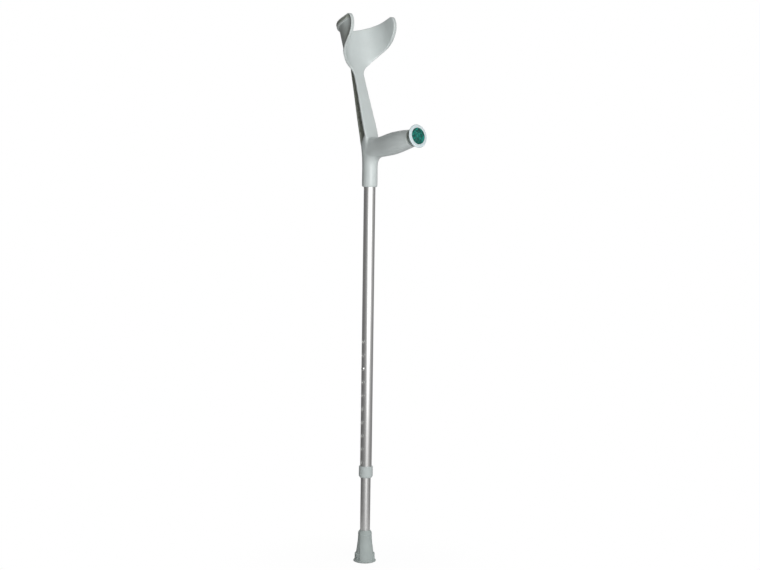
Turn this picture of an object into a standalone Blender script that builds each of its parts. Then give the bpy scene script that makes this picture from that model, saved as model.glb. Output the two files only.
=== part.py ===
"""A forearm crutch: one light grey moulding with an open cuff, a ribbed stem, a barrel grip and a
sleeve, on two aluminium tubes that slide and lock with a snap button, over a rubber foot.

Metres, +Z up. The origin is the centre of the foot's sole. The grip points to -Y, the forearm
leans back to +Y, and the adjustment holes face -X.
"""

import math

import bmesh
import bpy
from mathutils import Matrix, Vector
from mathutils.geometry import interpolate_bezier

# Clearances
GAP = 0.0003

# Grip, whose axis at the tube sets the height of the whole moulding
GRIP_RISE = math.radians(10.5)
GRIP_HEIGHT = 0.7662
GRIP_END = 0.1135

# Tubes
OUTER_TUBE_RADIUS = 0.0107
INNER_TUBE_RADIUS = 0.0092
TUBE_WALL = 0.0012
OUTER_TUBE_TOP = GRIP_HEIGHT + 0.0018
OUTER_TUBE_BOTTOM = 0.1630

# Height adjustment
HOLE_COUNT = 10
HOLE_PITCH = 0.0250
LOWEST_HOLE = 0.1868
BUTTON_STEP = 7
BUTTON_RADIUS = 0.0035
BUTTON_PROUD = 0.0024
INNER_TUBE_TOP = LOWEST_HOLE + HOLE_PITCH * BUTTON_STEP + 0.0782

# Snap spring's leaf and the button's shank through it
LEAF_THICKNESS = 0.0006
LEAF_WIDTH = 0.0076
LEAF_FACE = 0.0068
LEAF_HOLE = 0.0018
SHANK_RADIUS = LEAF_HOLE - GAP

# Rubber foot: a slim cone with a smooth raised panel in front and behind and slotted sides
FOOT_HEIGHT = 0.0595
SOLE_RADIUS = 0.0211
SOLE_THICKNESS = 0.0046
BAND_RADIUS = 0.0186
BAND_TOP = 0.0174
CONE_FOOT_RADIUS = 0.0154
NECK_RADIUS = 0.0131
NECK_GROOVE = 0.0003
PANEL_HALF = 0.0118
PANEL_FACING = math.radians(-123.0)
SLOT_STEP = math.radians(13.0)
SLOTS_A_SIDE = 7
SLOT_WIDTH = 0.0022
SLOT_DEPTH = 0.0018
SOCKET_FLOOR = 0.0100
WASHER_THICKNESS = 0.0015

# Collar at the outer tube's end
COLLAR_TOP = 0.1800
COLLAR_BOTTOM = 0.1584
COLLAR_RADIUS = 0.0130

# Sleeve of the moulding
SLEEVE_BOTTOM = GRIP_HEIGHT - 0.0692
SLEEVE_RADIUS = 0.0141
GUSSET_RADIUS = 0.0168
GUSSET_START = GRIP_HEIGHT - 0.0310

# Rivet in the back of the sleeve
RIVET_HEIGHT = SLEEVE_BOTTOM + 0.0160
RIVET_SHANK = 0.0020
RIVET_HEAD = 0.0040
RIVET_RISE = 0.0014

# Reflector on the grip's end
CAP_FACE = GRIP_END + 0.0158
CAP_RADIUS = 0.0212
LENS_RADIUS = 0.0147
CAP_THICKNESS = 0.0028
CAP_NECK = 0.0112
DISH_DEPTH = 0.0012
LENS_RISE = 0.0034
SPIGOT_RADIUS = 0.0085
SPIGOT_LENGTH = 0.0120

# Stem and cuff, whose cylinder leans back as it rises
LEAN = 0.3285
NECK_RISE = 0.1358
STEM_FOOT = GRIP_HEIGHT - 0.0022
NECK_HEIGHT = GRIP_HEIGHT + NECK_RISE
NECK_HALF = 0.0115
STEM_FOOT_HALF = 0.0159
LEAN_HEIGHT = NECK_HEIGHT + 0.0453
STEM_STEP = 0.0021
CUFF_RADIUS = 0.0485
SHELL = 0.0030
EDGE_LIP_WIDTH = 0.0030
EDGE_LIP_DEPTH = 0.0012
TOP_LIP_WIDTH = 0.0068
WING_LIP_DEPTH = 0.0041
WING_REACH = 0.1018
WING_FRONT = NECK_HEIGHT + 0.0982
CUFF_TIP = NECK_HEIGHT + 0.1082
SPINE_TOP = NECK_HEIGHT + 0.0826

# Web, bead and cross ribs behind the stem
WEB_HALF = 0.0019
BEAD_DEPTH = 0.0034
BEAM_STEPS = 30
RIB_COUNT = 8
RIB_FOOT = GRIP_HEIGHT + 0.0398
RIB_PITCH = (NECK_HEIGHT - RIB_FOOT) / RIB_COUNT
RIB_THICKNESS = 0.0016


def clear_scene():
    for item in list(bpy.data.objects):
        bpy.data.objects.remove(item, do_unlink=True)


def new_collection(name):
    group = bpy.data.collections.new(name)
    bpy.context.scene.collection.children.link(group)
    return group


def new_material(name, colour, roughness, metallic=0.0):
    material = bpy.data.materials.new(name)
    material.use_nodes = True
    shader = material.node_tree.nodes["Principled BSDF"]
    shader.inputs["Base Color"].default_value = (*colour, 1.0)
    shader.inputs["Roughness"].default_value = roughness
    shader.inputs["Metallic"].default_value = metallic
    return material


def object_from_bmesh(name, mesh, group):
    data = bpy.data.meshes.new(name)
    bmesh.ops.recalc_face_normals(mesh, faces=mesh.faces)
    mesh.to_mesh(data)
    mesh.free()
    item = bpy.data.objects.new(name, data)
    group.objects.link(item)
    return item


def finish(item, material, angle=35.0):
    """Gives an object its one material and smooth shading with sharp edges past an angle."""
    item.data.materials.clear()
    item.data.materials.append(material)
    item.data.shade_smooth()
    item.data.set_sharp_from_angle(angle=math.radians(angle))
    return item


def make_cutter(item):
    item.hide_render = True
    item.display_type = "WIRE"
    return item


def boolean(item, other, operation):
    """Adds a live Boolean that joins or cuts with another object."""
    step = item.modifiers.new(operation.title(), "BOOLEAN")
    step.operation = operation
    step.object = make_cutter(other)
    return step


def bake(item):
    """Applies an object's modifiers, so that later steps read the plain result."""
    depsgraph = bpy.context.evaluated_depsgraph_get()
    data = bpy.data.meshes.new_from_object(item.evaluated_get(depsgraph))
    item.modifiers.clear()
    item.data = data
    return item


def turned(name, profile, group, steps=40):
    """A profile of (radius, height) points spun about Z. It runs down the outer side.

    A profile that starts and ends on the axis is left open there, which closes the solid.
    """
    data = bpy.data.meshes.new(name)
    points = [(radius, 0.0, height) for radius, height in profile]
    edges = [(i, i + 1) for i in range(len(points) - 1)]
    if profile[0][0] > GAP / 10.0:
        edges.append((len(points) - 1, 0))
    data.from_pydata(points, edges, [])
    item = bpy.data.objects.new(name, data)
    group.objects.link(item)
    screw = item.modifiers.new("Screw", "SCREW")
    screw.steps = steps
    screw.render_steps = steps
    screw.use_merge_vertices = True
    screw.merge_threshold = 0.00001
    return bake(item)


def arc(centre, radius, start, end, steps):
    """Points on an arc in the (radius, height) plane, angles in degrees."""
    turn = [math.radians(start + (end - start) * i / steps) for i in range(steps + 1)]
    return [(centre[0] + radius * math.cos(a), centre[1] + radius * math.sin(a)) for a in turn]


def cylinder(name, radius, start, end, group, sides=32):
    """A closed cylinder between two points."""
    mesh = bmesh.new()
    axis = Vector(end) - Vector(start)
    turn = axis.to_track_quat("Z", "Y").to_matrix().to_4x4()
    place = Matrix.Translation((Vector(start) + Vector(end)) / 2.0) @ turn
    bmesh.ops.create_cone(
        mesh, cap_ends=True, segments=sides, radius1=radius, radius2=radius, depth=axis.length, matrix=place
    )
    return object_from_bmesh(name, mesh, group)


def loft(name, rings, group):
    """Joins rings of equal point counts into one closed body with flat ends."""
    mesh = bmesh.new()
    loops = [[mesh.verts.new(point) for point in ring] for ring in rings]
    count = len(loops[0])
    for low, high in zip(loops, loops[1:]):
        for i in range(count):
            j = (i + 1) % count
            mesh.faces.new((low[i], low[j], high[j], high[i]))
    mesh.faces.new(list(reversed(loops[0])))
    mesh.faces.new(loops[-1])
    return object_from_bmesh(name, mesh, group)


def smooth(value, start, end):
    """Goes from 0 at start to 1 at end, flat at both."""
    t = min(max((value - start) / (end - start), 0.0), 1.0)
    return t * t * (3.0 - 2.0 * t)


def between(stations, place):
    """Reads a list of (place, values...) stations with smooth curves between them."""
    last = len(stations) - 1
    k = max(i for i in range(last) if i == 0 or stations[i][0] <= place)
    low, high = stations[k], stations[k + 1]
    before = stations[max(k - 1, 0)]
    after = stations[min(k + 2, last)]
    t = min(max((place - low[0]) / (high[0] - low[0]), 0.0), 1.0)
    found = []
    for a, b, c, d in zip(before[1:], low[1:], high[1:], after[1:]):
        rise_in = (c - a) / (high[0] - before[0]) * (high[0] - low[0])
        rise_out = (d - b) / (after[0] - low[0]) * (high[0] - low[0])
        h00 = 2 * t**3 - 3 * t**2 + 1
        h10 = t**3 - 2 * t**2 + t
        h01 = -2 * t**3 + 3 * t**2
        h11 = t**3 - t**2
        found.append(h00 * b + h10 * rise_in + h01 * c + h11 * rise_out)
    return found


# Foot


def ferrule_ring(height, side, panel):
    """A round section whose front and back panels stand out from its sides."""
    half = min(PANEL_HALF, 0.85 * side)
    ring = []
    for facing in (PANEL_FACING, PANEL_FACING + math.pi):
        edge = math.asin(half / panel)
        for i in range(9):
            turn = facing + edge * (i / 4.0 - 1.0)
            ring.append(Vector((panel * math.cos(turn), panel * math.sin(turn), height)))
        edge = math.asin(half / side)
        for i in range(13):
            turn = facing + edge + (math.pi - 2.0 * edge) * i / 12.0
            ring.append(Vector((side * math.cos(turn), side * math.sin(turn), height)))
    return ring


def ferrule_stations():
    """Down the foot: height, radius of the sides, how far the panels stand out."""
    neck = NECK_RADIUS - 0.0006
    rim = INNER_TUBE_RADIUS + GAP + 0.0007
    stations = [(FOOT_HEIGHT, rim, 0.0002), (FOOT_HEIGHT - 0.0034, neck - 0.0004, 0.0005)]
    stations.append((FOOT_HEIGHT - 0.0044, neck, 0.0006))
    for drop in (0.0048, 0.0086):
        top = FOOT_HEIGHT - drop
        stations.append((top, neck, 0.0006))
        stations.append((top - 0.0003, neck - NECK_GROOVE, 0.0006))
        stations.append((top - 0.0009, neck - NECK_GROOVE, 0.0006))
        stations.append((top - 0.0012, neck, 0.0006))
    stations += [
        (FOOT_HEIGHT - 0.0155, neck + 0.0002, 0.0007),
        (FOOT_HEIGHT - 0.0215, neck + 0.0007, 0.0012),
        (BAND_TOP + 0.0100, CONE_FOOT_RADIUS - 0.0011, 0.0026),
        (BAND_TOP, CONE_FOOT_RADIUS, 0.0034),
        (BAND_TOP - 0.0003, BAND_RADIUS - 0.0005, 0.0006),
        (BAND_TOP - 0.0010, BAND_RADIUS, 0.0004),
        (SOLE_THICKNESS + 0.0006, BAND_RADIUS + 0.0002, 0.0016),
        (SOLE_THICKNESS, SOLE_RADIUS - 0.0010, 0.0002),
    ]
    for radius, height in arc((SOLE_RADIUS - 0.0016, 0.0026), 0.0016, 40, -60, 5):
        stations.append((height, radius, 0.0001))
    stations.append((0.0, SOLE_RADIUS - 0.0022, 0.0001))
    return stations


def build_ferrule(group, cutters):
    """A cone with ring grooves, two smooth panels, slotted sides, a sole flange and a socket."""
    rings = [ferrule_ring(height, side, side + raised) for height, side, raised in ferrule_stations()]
    ferrule = loft("ferrule", rings, group)
    mesh = bmesh.new()
    height = BAND_TOP - SOLE_THICKNESS + 0.0030
    for facing in (PANEL_FACING, PANEL_FACING + math.pi):
        for step in range(SLOTS_A_SIDE):
            angle = facing + math.pi / 2.0 + SLOT_STEP * (step - (SLOTS_A_SIDE - 1) / 2.0)
            middle = Vector((BAND_RADIUS + 0.0002, 0.0, SOLE_THICKNESS + 0.0004 + height / 2.0))
            place = Matrix.Rotation(angle, 4, "Z") @ Matrix.Translation(middle)
            size = Matrix.Diagonal((2.0 * SLOT_DEPTH, SLOT_WIDTH, height, 1.0))
            bmesh.ops.create_cube(mesh, size=1.0, matrix=place @ size)
    boolean(ferrule, object_from_bmesh("ferrule_slots", mesh, cutters), "DIFFERENCE")
    bake(ferrule)
    socket = INNER_TUBE_RADIUS + GAP
    floor, mouth = (0.0, 0.0, SOCKET_FLOOR), (0.0, 0.0, FOOT_HEIGHT + 0.010)
    bore = cylinder("ferrule_bore", socket, floor, mouth, cutters, sides=48)
    boolean(ferrule, bore, "DIFFERENCE")
    return bake(ferrule)


def build_washer(group):
    """The steel disc that the tube stands on inside the foot."""
    bottom = SOCKET_FLOOR + GAP
    top = bottom + WASHER_THICKNESS
    radius = INNER_TUBE_RADIUS - GAP
    profile = [(0.0, top), (radius - 0.0002, top), (radius, top - 0.0002), (radius, bottom), (0.0, bottom)]
    return turned("ferrule_washer", profile, group, steps=40)


# Tubes and snap lock


def ring_profile(outer, inner, top, bottom, edge=0.0002):
    return [
        (outer - edge, top),
        (outer, top - edge),
        (outer, bottom + edge),
        (outer - edge, bottom),
        (inner, bottom),
        (inner, top),
    ]


def hole_height(step):
    return LOWEST_HOLE + HOLE_PITCH * step


def build_inner_tube(group, cutters):
    bottom = SOCKET_FLOOR + WASHER_THICKNESS + 2.0 * GAP
    inner = INNER_TUBE_RADIUS - TUBE_WALL
    tube = turned("inner_tube", ring_profile(INNER_TUBE_RADIUS, inner, INNER_TUBE_TOP, bottom), group)
    height = hole_height(BUTTON_STEP)
    start, end = (-0.016, 0.0, height), (-0.004, 0.0, height)
    drill = cylinder("inner_tube_drill", BUTTON_RADIUS + GAP, start, end, cutters, sides=24)
    boolean(tube, drill, "DIFFERENCE")
    return bake(tube)


def build_guide_bush(group):
    """A plug in the inner tube's end whose head runs in the outer tube."""
    head = OUTER_TUBE_RADIUS - TUBE_WALL - GAP
    plug = INNER_TUBE_RADIUS - TUBE_WALL - GAP
    seat = INNER_TUBE_TOP + GAP
    profile = [
        (0.0, seat + 0.0030),
        (head - 0.0008, seat + 0.0030),
        (head, seat + 0.0022),
        (head, seat),
        (plug, seat),
        (plug, seat - 0.0110),
        (plug - 0.0010, seat - 0.0120),
        (0.0, seat - 0.0120),
    ]
    return turned("guide_bush", profile, group)


def build_outer_tube(group, cutters):
    inner = OUTER_TUBE_RADIUS - TUBE_WALL
    tube = turned(
        "outer_tube", ring_profile(OUTER_TUBE_RADIUS, inner, OUTER_TUBE_TOP, OUTER_TUBE_BOTTOM), group
    )
    mesh = bmesh.new()
    for step in range(HOLE_COUNT):
        place = Matrix.Translation((-OUTER_TUBE_RADIUS, 0.0, hole_height(step)))
        turn = Matrix.Rotation(math.pi / 2.0, 4, "Y")
        radius = BUTTON_RADIUS + GAP
        bmesh.ops.create_cone(
            mesh, cap_ends=True, segments=18, radius1=radius, radius2=radius, depth=0.010, matrix=place @ turn
        )
    boolean(tube, object_from_bmesh("tube_drills", mesh, cutters), "DIFFERENCE")
    rivet = cylinder(
        "rivet_drill_tube", RIVET_SHANK + GAP, (0.0, 0.004, RIVET_HEIGHT), (0.0, 0.020, RIVET_HEIGHT), cutters
    )
    boolean(tube, rivet, "DIFFERENCE")
    return bake(tube)


def build_snap_spring(group, cutters):
    """A hairpin leaf: a long leg on the tube's far wall and a short leg that carries the button."""
    height = hole_height(BUTTON_STEP)
    back = LEAF_FACE - LEAF_THICKNESS
    bend = 0.0040
    bend_top = height - 0.0340
    outline = [(-LEAF_FACE, height + 0.0080), (-back, height + 0.0080), (-back, height - 0.0070)]
    centre = (0.0, bend_top - bend)
    inner = arc(centre, bend, 180, 360, 10)
    outer = arc(centre, bend + LEAF_THICKNESS, 360, 180, 10)
    outline += inner
    outline += [(back, height - 0.0120), (back, height + 0.0080), (LEAF_FACE, height + 0.0080)]
    outline += [(LEAF_FACE, height - 0.0120)]
    outline += outer
    outline += [(-LEAF_FACE, height - 0.0070)]
    mesh = bmesh.new()
    half = LEAF_WIDTH / 2.0
    face = mesh.faces.new([mesh.verts.new((x, -half, z)) for x, z in outline])
    pushed = bmesh.ops.extrude_face_region(mesh, geom=[face])["geom"]
    moved = [piece for piece in pushed if isinstance(piece, bmesh.types.BMVert)]
    bmesh.ops.translate(mesh, verts=moved, vec=(0.0, LEAF_WIDTH, 0.0))
    spring = object_from_bmesh("snap_spring", mesh, group)
    drill = cylinder(
        "spring_drill", LEAF_HOLE, (-0.010, 0.0, height), (-0.003, 0.0, height), cutters, sides=20
    )
    boolean(spring, drill, "DIFFERENCE")
    return bake(spring)


def build_snap_button(group):
    """A domed button with a shank through the leaf and a riveted head behind it."""
    tip = OUTER_TUBE_RADIUS + BUTTON_PROUD
    shoulder = LEAF_FACE + GAP
    behind = LEAF_FACE - LEAF_THICKNESS - GAP
    dome_start = OUTER_TUBE_RADIUS + 0.0004
    profile = []
    for i in range(7):
        turn = math.radians(90.0 - 15.0 * i)
        profile.append((BUTTON_RADIUS * math.cos(turn), dome_start + (tip - dome_start) * math.sin(turn)))
    profile += [(BUTTON_RADIUS, shoulder), (SHANK_RADIUS, shoulder), (SHANK_RADIUS, behind)]
    profile += [(0.0024, behind), (0.0022, behind - 0.0008), (0.0, behind - 0.0010)]
    button = turned("snap_button", profile, group, steps=32)
    turn = Matrix.Rotation(-math.pi / 2.0, 4, "Y")
    button.data.transform(turn)
    button.location = (0.0, 0.0, hole_height(BUTTON_STEP))
    return button


def build_collar(group):
    """The plastic collar that closes the gap between the two tubes."""
    wide = OUTER_TUBE_RADIUS + GAP
    narrow = INNER_TUBE_RADIUS + GAP
    shelf = OUTER_TUBE_BOTTOM - GAP
    round_edge = 0.0013
    profile = [(wide, COLLAR_TOP)]
    profile += arc((COLLAR_RADIUS - 0.0001 - round_edge, COLLAR_TOP - round_edge), round_edge, 90, 0, 5)
    profile += [
        (COLLAR_RADIUS, COLLAR_BOTTOM + 0.0036),
        (COLLAR_RADIUS - 0.0006, COLLAR_BOTTOM + 0.0026),
        (COLLAR_RADIUS - 0.0022, COLLAR_BOTTOM),
        (narrow, COLLAR_BOTTOM),
        (narrow, shelf),
        (wide, shelf),
    ]
    return turned("tube_collar", profile, group, steps=40)


def build_rivet(group):
    seat = SLEEVE_RADIUS + GAP
    profile = []
    for i in range(6):
        turn = math.radians(90.0 - 18.0 * i)
        profile.append((RIVET_HEAD * math.cos(turn), seat + RIVET_RISE * math.sin(turn)))
    inside = OUTER_TUBE_RADIUS - TUBE_WALL - 0.0010
    profile += [(RIVET_SHANK, seat), (RIVET_SHANK, inside), (0.0, inside)]
    rivet = turned("handle_rivet", profile, group, steps=28)
    rivet.data.transform(Matrix.Rotation(-math.pi / 2.0, 4, "X"))
    rivet.location = (0.0, 0.0, RIVET_HEIGHT)
    return rivet


# The moulding: grip


def grip_frame():
    """The grip's own axes: X across, Y up, Z along the grip away from the tube."""
    along = Vector((0.0, -math.cos(GRIP_RISE), math.sin(GRIP_RISE)))
    across = Vector((1.0, 0.0, 0.0))
    turn = Matrix((across, along.cross(across), along)).transposed().to_4x4()
    return Matrix.Translation((0.0, 0.0, GRIP_HEIGHT)) @ turn


def superellipse(half_x, half_y, power, count):
    points = []
    for i in range(count):
        turn = 2.0 * math.pi * i / count
        c, s = math.cos(turn), math.sin(turn)
        x = math.copysign(abs(c) ** (2.0 / power), c) * half_x
        y = math.copysign(abs(s) ** (2.0 / power), s) * half_y
        points.append((x, y))
    return points


# Stations along the grip: distance from the tube's axis, half width, half height, drop below
# the grip's axis
GRIP_STATIONS = [
    (-0.006, 0.0138, 0.0146, 0.0012),
    (0.010, 0.0136, 0.0166, 0.0013),
    (0.036, 0.0154, 0.0187, 0.0015),
    (0.064, 0.0178, 0.0201, 0.0012),
    (0.090, 0.0172, 0.0185, 0.0008),
    (GRIP_END, 0.0150, 0.0156, 0.0008),
]


def build_grip(cutters):
    """A barrel, narrow at its root, full in the palm and rounded at its end."""
    frame = grip_frame()
    start, end = GRIP_STATIONS[0][0], GRIP_STATIONS[-1][0]
    edge = 0.0022
    places = [start + (end - edge - start) * i / 18.0 for i in range(19)]
    rings = []
    for place in places:
        rings.append((place, *between(GRIP_STATIONS, place)))
    for i in range(1, 4):
        turn = math.radians(30.0 * i)
        half_x, half_y, drop = between(GRIP_STATIONS, end)
        shrink = edge * (1.0 - math.cos(turn))
        rings.append((end - edge + edge * math.sin(turn), half_x - shrink, half_y - shrink, drop))
    placed = []
    for place, half_x, half_y, drop in rings:
        outline = superellipse(half_x, half_y, 2.15, 40)
        placed.append([frame @ Vector((x, y - drop, place)) for x, y in outline])
    return loft("grip", placed, cutters)


# The moulding: sleeve and junction

# Stations up the column: height over the grip's axis, half width, front edge, widest line, back
# edge, drop of the back, and the power of its front, from round at the sleeve to squarer above
COLUMN_STATIONS = [
    (-0.0342, 0.0142, -0.0142, 0.0000, 0.0142, 0.0000, 2.0),
    (-0.0162, 0.0145, -0.0142, 0.0000, 0.0150, 0.0000, 2.0),
    (-0.0042, 0.0151, -0.0138, -0.0006, 0.0168, 0.0000, 2.2),
    (0.0058, 0.0159, -0.0122, -0.0034, 0.0184, 0.0030, 3.0),
    (0.0148, 0.0163, -0.0088, -0.0040, 0.0187, 0.0090, 3.6),
    (0.0218, 0.0162, -0.0054, -0.0020, 0.0170, 0.0150, 3.6),
    (0.0268, 0.0146, -0.0016, 0.0010, 0.0144, 0.0190, 3.0),
    (0.0303, 0.0090, 0.0016, 0.0040, 0.0120, 0.0210, 2.4),
]


def gusset_reach(height):
    """How far the column reaches forward where it sweeps round into the grip's underside."""
    start = GUSSET_START
    rise = height - start
    if rise <= 0.0:
        return SLEEVE_RADIUS
    rise = min(rise, GUSSET_RADIUS * 0.985)
    return SLEEVE_RADIUS + GUSSET_RADIUS - math.sqrt(GUSSET_RADIUS**2 - rise**2)


def column_ring(height, half, front, middle, back, drop, power, count=44):
    """A ring with a rounder back that can hang lower and a squarer front, widest at its middle line."""
    ring = []
    round_side = superellipse(half, 1.0, 2.0, count)
    square_side = superellipse(half, 1.0, power, count)
    for i in range(count):
        behind = 0 < i < count // 2
        x, y = round_side[i] if behind else square_side[i]
        edge = back if behind else front
        place = middle + abs(y) * (edge - middle)
        share = (place - front) / (back - front)
        ring.append(Vector((x, place, height - drop * share)))
    return ring


def round_ring(height, radius):
    return column_ring(height, radius, -radius, 0.0, radius, 0.0, 2.0)


def build_column(cutters):
    """The sleeve round the tube, swept into the grip in front and domed at the stem's foot."""
    rings = []
    for i in range(4):
        turn = math.radians(30.0 * i)
        radius = SLEEVE_RADIUS - 0.0001 - 0.0022 * (1.0 - math.sin(turn))
        height = SLEEVE_BOTTOM + 0.0034 * (1.0 - math.cos(turn))
        rings.append(round_ring(height, radius))
    low = COLUMN_STATIONS[0][0]
    high = COLUMN_STATIONS[-1][0]
    rings.append(round_ring((SLEEVE_BOTTOM + GRIP_HEIGHT + low) / 2.0, SLEEVE_RADIUS))
    steps = 28
    for i in range(steps + 1):
        rise = low + (high - low) * i / steps
        height = GRIP_HEIGHT + rise
        half, front, middle, back, drop, power = between(COLUMN_STATIONS, rise)
        sweep = smooth(rise, -0.0142, -0.0082)
        front = front * sweep - gusset_reach(height) * (1.0 - sweep)
        rings.append(column_ring(height, half, front, middle, back, drop, power))
    return loft("column", rings, cutters)


# The moulding: cuff and stem shell


def curve_points(knots, steps):
    """Points along joined Bezier spans. Each knot is (across, height, handle in, handle out)."""
    found = []
    for first, second in zip(knots, knots[1:]):
        start, end = Vector(first[:2]), Vector(second[:2])
        handles = start + Vector(first[3]), end + Vector(second[2])
        points = interpolate_bezier(start, handles[0], handles[1], end, steps + 1)
        found += [(p[0], p[1]) for p in points[:-1]]
    found.append(knots[-1][:2])
    return found


def half_outline():
    """The right half of the shell laid flat: up the stem, out along the wing and back to the spine."""
    none = (0.0, 0.0)
    knots = [
        (0.0, STEM_FOOT, none, (0.0080, 0.0)),
        (STEM_FOOT_HALF, STEM_FOOT + 0.0320, (0.0000, -0.0160), (-0.0001, 0.0160)),
        (NECK_HALF, NECK_HEIGHT - 0.0023, (0.0001, -0.030), (0.0, 0.0116)),
        (0.0278, NECK_HEIGHT + 0.0206, (-0.0091, -0.0069), (0.0122, 0.0102)),
        (0.0634, NECK_HEIGHT + 0.0476, (-0.0146, -0.0102), (0.0142, 0.0108)),
        (WING_REACH, WING_FRONT, (0.0000, -0.0185), (-0.0001, 0.0073)),
        (0.0947, CUFF_TIP, (0.0056, 0.0002), (-0.0194, -0.0070)),
        (0.0, SPINE_TOP, (0.0315, 0.0), none),
    ]
    return curve_points(knots, 8)


def lip_width(point):
    """The rim's band is wide along the cuff's top and narrow down its sides."""
    across, height = point
    above = smooth(height, SPINE_TOP - 0.0080, SPINE_TOP - 0.0020)
    share = above * (1.0 - smooth(abs(across), 0.0820, 0.0930))
    return EDGE_LIP_WIDTH + (TOP_LIP_WIDTH - EDGE_LIP_WIDTH) * share


def inset_outline(outline):
    """The closed outline moved inward along its own normals by the rim's width."""
    count = len(outline)
    moved = []
    for i in range(count):
        before = Vector(outline[i - 1])
        after = Vector(outline[(i + 1) % count])
        along = (after - before).normalized()
        inward = Vector((-along[1], along[0]))
        moved.append(Vector(outline[i]) + inward * lip_width(outline[i]))
    return moved


def lean_shift(height):
    return LEAN * (height - LEAN_HEIGHT)


def bend(across, depth, height):
    """Wraps a flat point round the leaning cuff. Below the neck the shell flattens into the stem."""
    mid = CUFF_RADIUS + SHELL / 2.0
    radius = CUFF_RADIUS + depth
    quarter = mid * math.pi / 2.0
    reach = abs(across)
    side = math.copysign(1.0, across)
    if reach <= quarter:
        x = radius * math.sin(reach / mid)
        y = radius * math.cos(reach / mid)
    else:
        x = radius
        y = quarter - reach
    curl = smooth(height, NECK_HEIGHT - 0.0170, NECK_HEIGHT + 0.0330)
    x = reach + (x - reach) * curl
    y = radius + (y - radius) * curl - STEM_STEP * (1.0 - curl)
    return Vector((side * x, y + lean_shift(height), height))


def flat_shell():
    """The shell's flat sheet, with its border band, cut along the lines that it bends on."""
    right = half_outline()
    left = [(-x, z) for x, z in reversed(right[1:-1])]
    outline = right + left
    inner = inset_outline(outline)
    mesh = bmesh.new()
    band = mesh.faces.layers.int.new("band")
    outer_loop = [mesh.verts.new((x, 0.0, z)) for x, z in outline]
    inner_loop = [mesh.verts.new((x, 0.0, z)) for x, z in inner]
    count = len(outline)
    for i in range(count):
        j = (i + 1) % count
        face = mesh.faces.new((outer_loop[i], outer_loop[j], inner_loop[j], inner_loop[i]))
        face[band] = 1
    mesh.faces.new(inner_loop)
    spacing = 0.0056
    cuts = int(WING_REACH / spacing)
    for i in range(-cuts, cuts + 1):
        plane = Vector((i * spacing, 0.0, 0.0))
        everything = mesh.verts[:] + mesh.edges[:] + mesh.faces[:]
        bmesh.ops.bisect_plane(mesh, geom=everything, dist=1e-6, plane_co=plane, plane_no=(1.0, 0.0, 0.0))
    for i in range(10):
        plane = Vector((0.0, 0.0, NECK_HEIGHT - 0.0160 + spacing * i))
        everything = mesh.verts[:] + mesh.edges[:] + mesh.faces[:]
        bmesh.ops.bisect_plane(mesh, geom=everything, dist=1e-6, plane_co=plane, plane_no=(0.0, 0.0, 1.0))
    return mesh, band


def lip_depth(height):
    """The rim turns out by its full depth on the wings and fades to a low edge down the stem."""
    share = smooth(height, NECK_HEIGHT + 0.0280, NECK_HEIGHT + 0.0680)
    return EDGE_LIP_DEPTH + (WING_LIP_DEPTH - EDGE_LIP_DEPTH) * share


def build_shell(cutters):
    """The cuff and the stem's front plate: one sheet with a turned-out rim."""
    mesh, band = flat_shell()
    bmesh.ops.recalc_face_normals(mesh, faces=mesh.faces)
    flip = [face for face in mesh.faces if face.normal.y > 0.0]
    bmesh.ops.reverse_faces(mesh, faces=flip)
    pushed = bmesh.ops.extrude_face_region(mesh, geom=mesh.faces[:])["geom"]
    back_faces = [piece for piece in pushed if isinstance(piece, bmesh.types.BMFace)]
    back_verts = {vert for face in back_faces for vert in face.verts}
    for vert in back_verts:
        vert.co.y = SHELL
    lips = [face for face in back_faces if face[band] == 1]
    raised = bmesh.ops.extrude_face_region(mesh, geom=lips)["geom"]
    for piece in raised:
        if isinstance(piece, bmesh.types.BMVert):
            piece.co.y = SHELL + lip_depth(piece.co.z)
    bmesh.ops.delete(mesh, geom=lips, context="FACES")
    for vert in mesh.verts:
        vert.co = bend(vert.co.x, vert.co.y, vert.co.z)
    return object_from_bmesh("shell", mesh, cutters)


# The moulding: beam behind the stem


def stem_half(height):
    """Half the stem's width, which grows from the neck down to the grip."""
    share = (NECK_HEIGHT - height) / (NECK_HEIGHT - STEM_FOOT)
    return NECK_HALF + (STEM_FOOT_HALF - NECK_HALF) * min(max(share, 0.0), 1.0)


# Stations up the beam: share of the way from the grip to the neck, depth behind the front face,
# half width of its back bead
BEAM_STATIONS = [
    (-0.120, 0.0302, 0.0046),
    (-0.045, 0.0311, 0.0046),
    (0.065, 0.0328, 0.0046),
    (0.138, 0.0317, 0.0045),
    (0.396, 0.0286, 0.0043),
    (0.690, 0.0243, 0.0040),
    (1.022, 0.0190, 0.0038),
    (1.206, 0.0130, 0.0036),
    (1.353, 0.0050, 0.0030),
    (1.412, 0.0022, 0.0024),
]


def stem_front(height):
    """How far back the stem's front face is on its middle line."""
    return bend(0.0, 0.0, height).y


def build_beam(cutters):
    """A web behind the front plate that ends in a rounded bead along its back."""
    rings = []
    bottom, top = BEAM_STATIONS[0][0], BEAM_STATIONS[-1][0]
    for i in range(BEAM_STEPS + 1):
        share = bottom + (top - bottom) * i / BEAM_STEPS
        height = GRIP_HEIGHT + NECK_RISE * share
        depth, half = between(BEAM_STATIONS, share)
        front = stem_front(height)
        back = front + depth
        start = front + 0.0014
        inner = max(back - BEAD_DEPTH, start + 0.0002)
        corner = min(0.0011, 0.4 * (back - inner))
        right = [
            (WEB_HALF, start),
            (WEB_HALF, inner),
            (half, inner + corner),
            (half, back - corner),
            (half - 0.0011, back),
        ]
        left = [(-x, y) for x, y in reversed(right)]
        rings.append([Vector((x, y, height)) for x, y in right + left])
    return loft("beam", rings, cutters)


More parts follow.
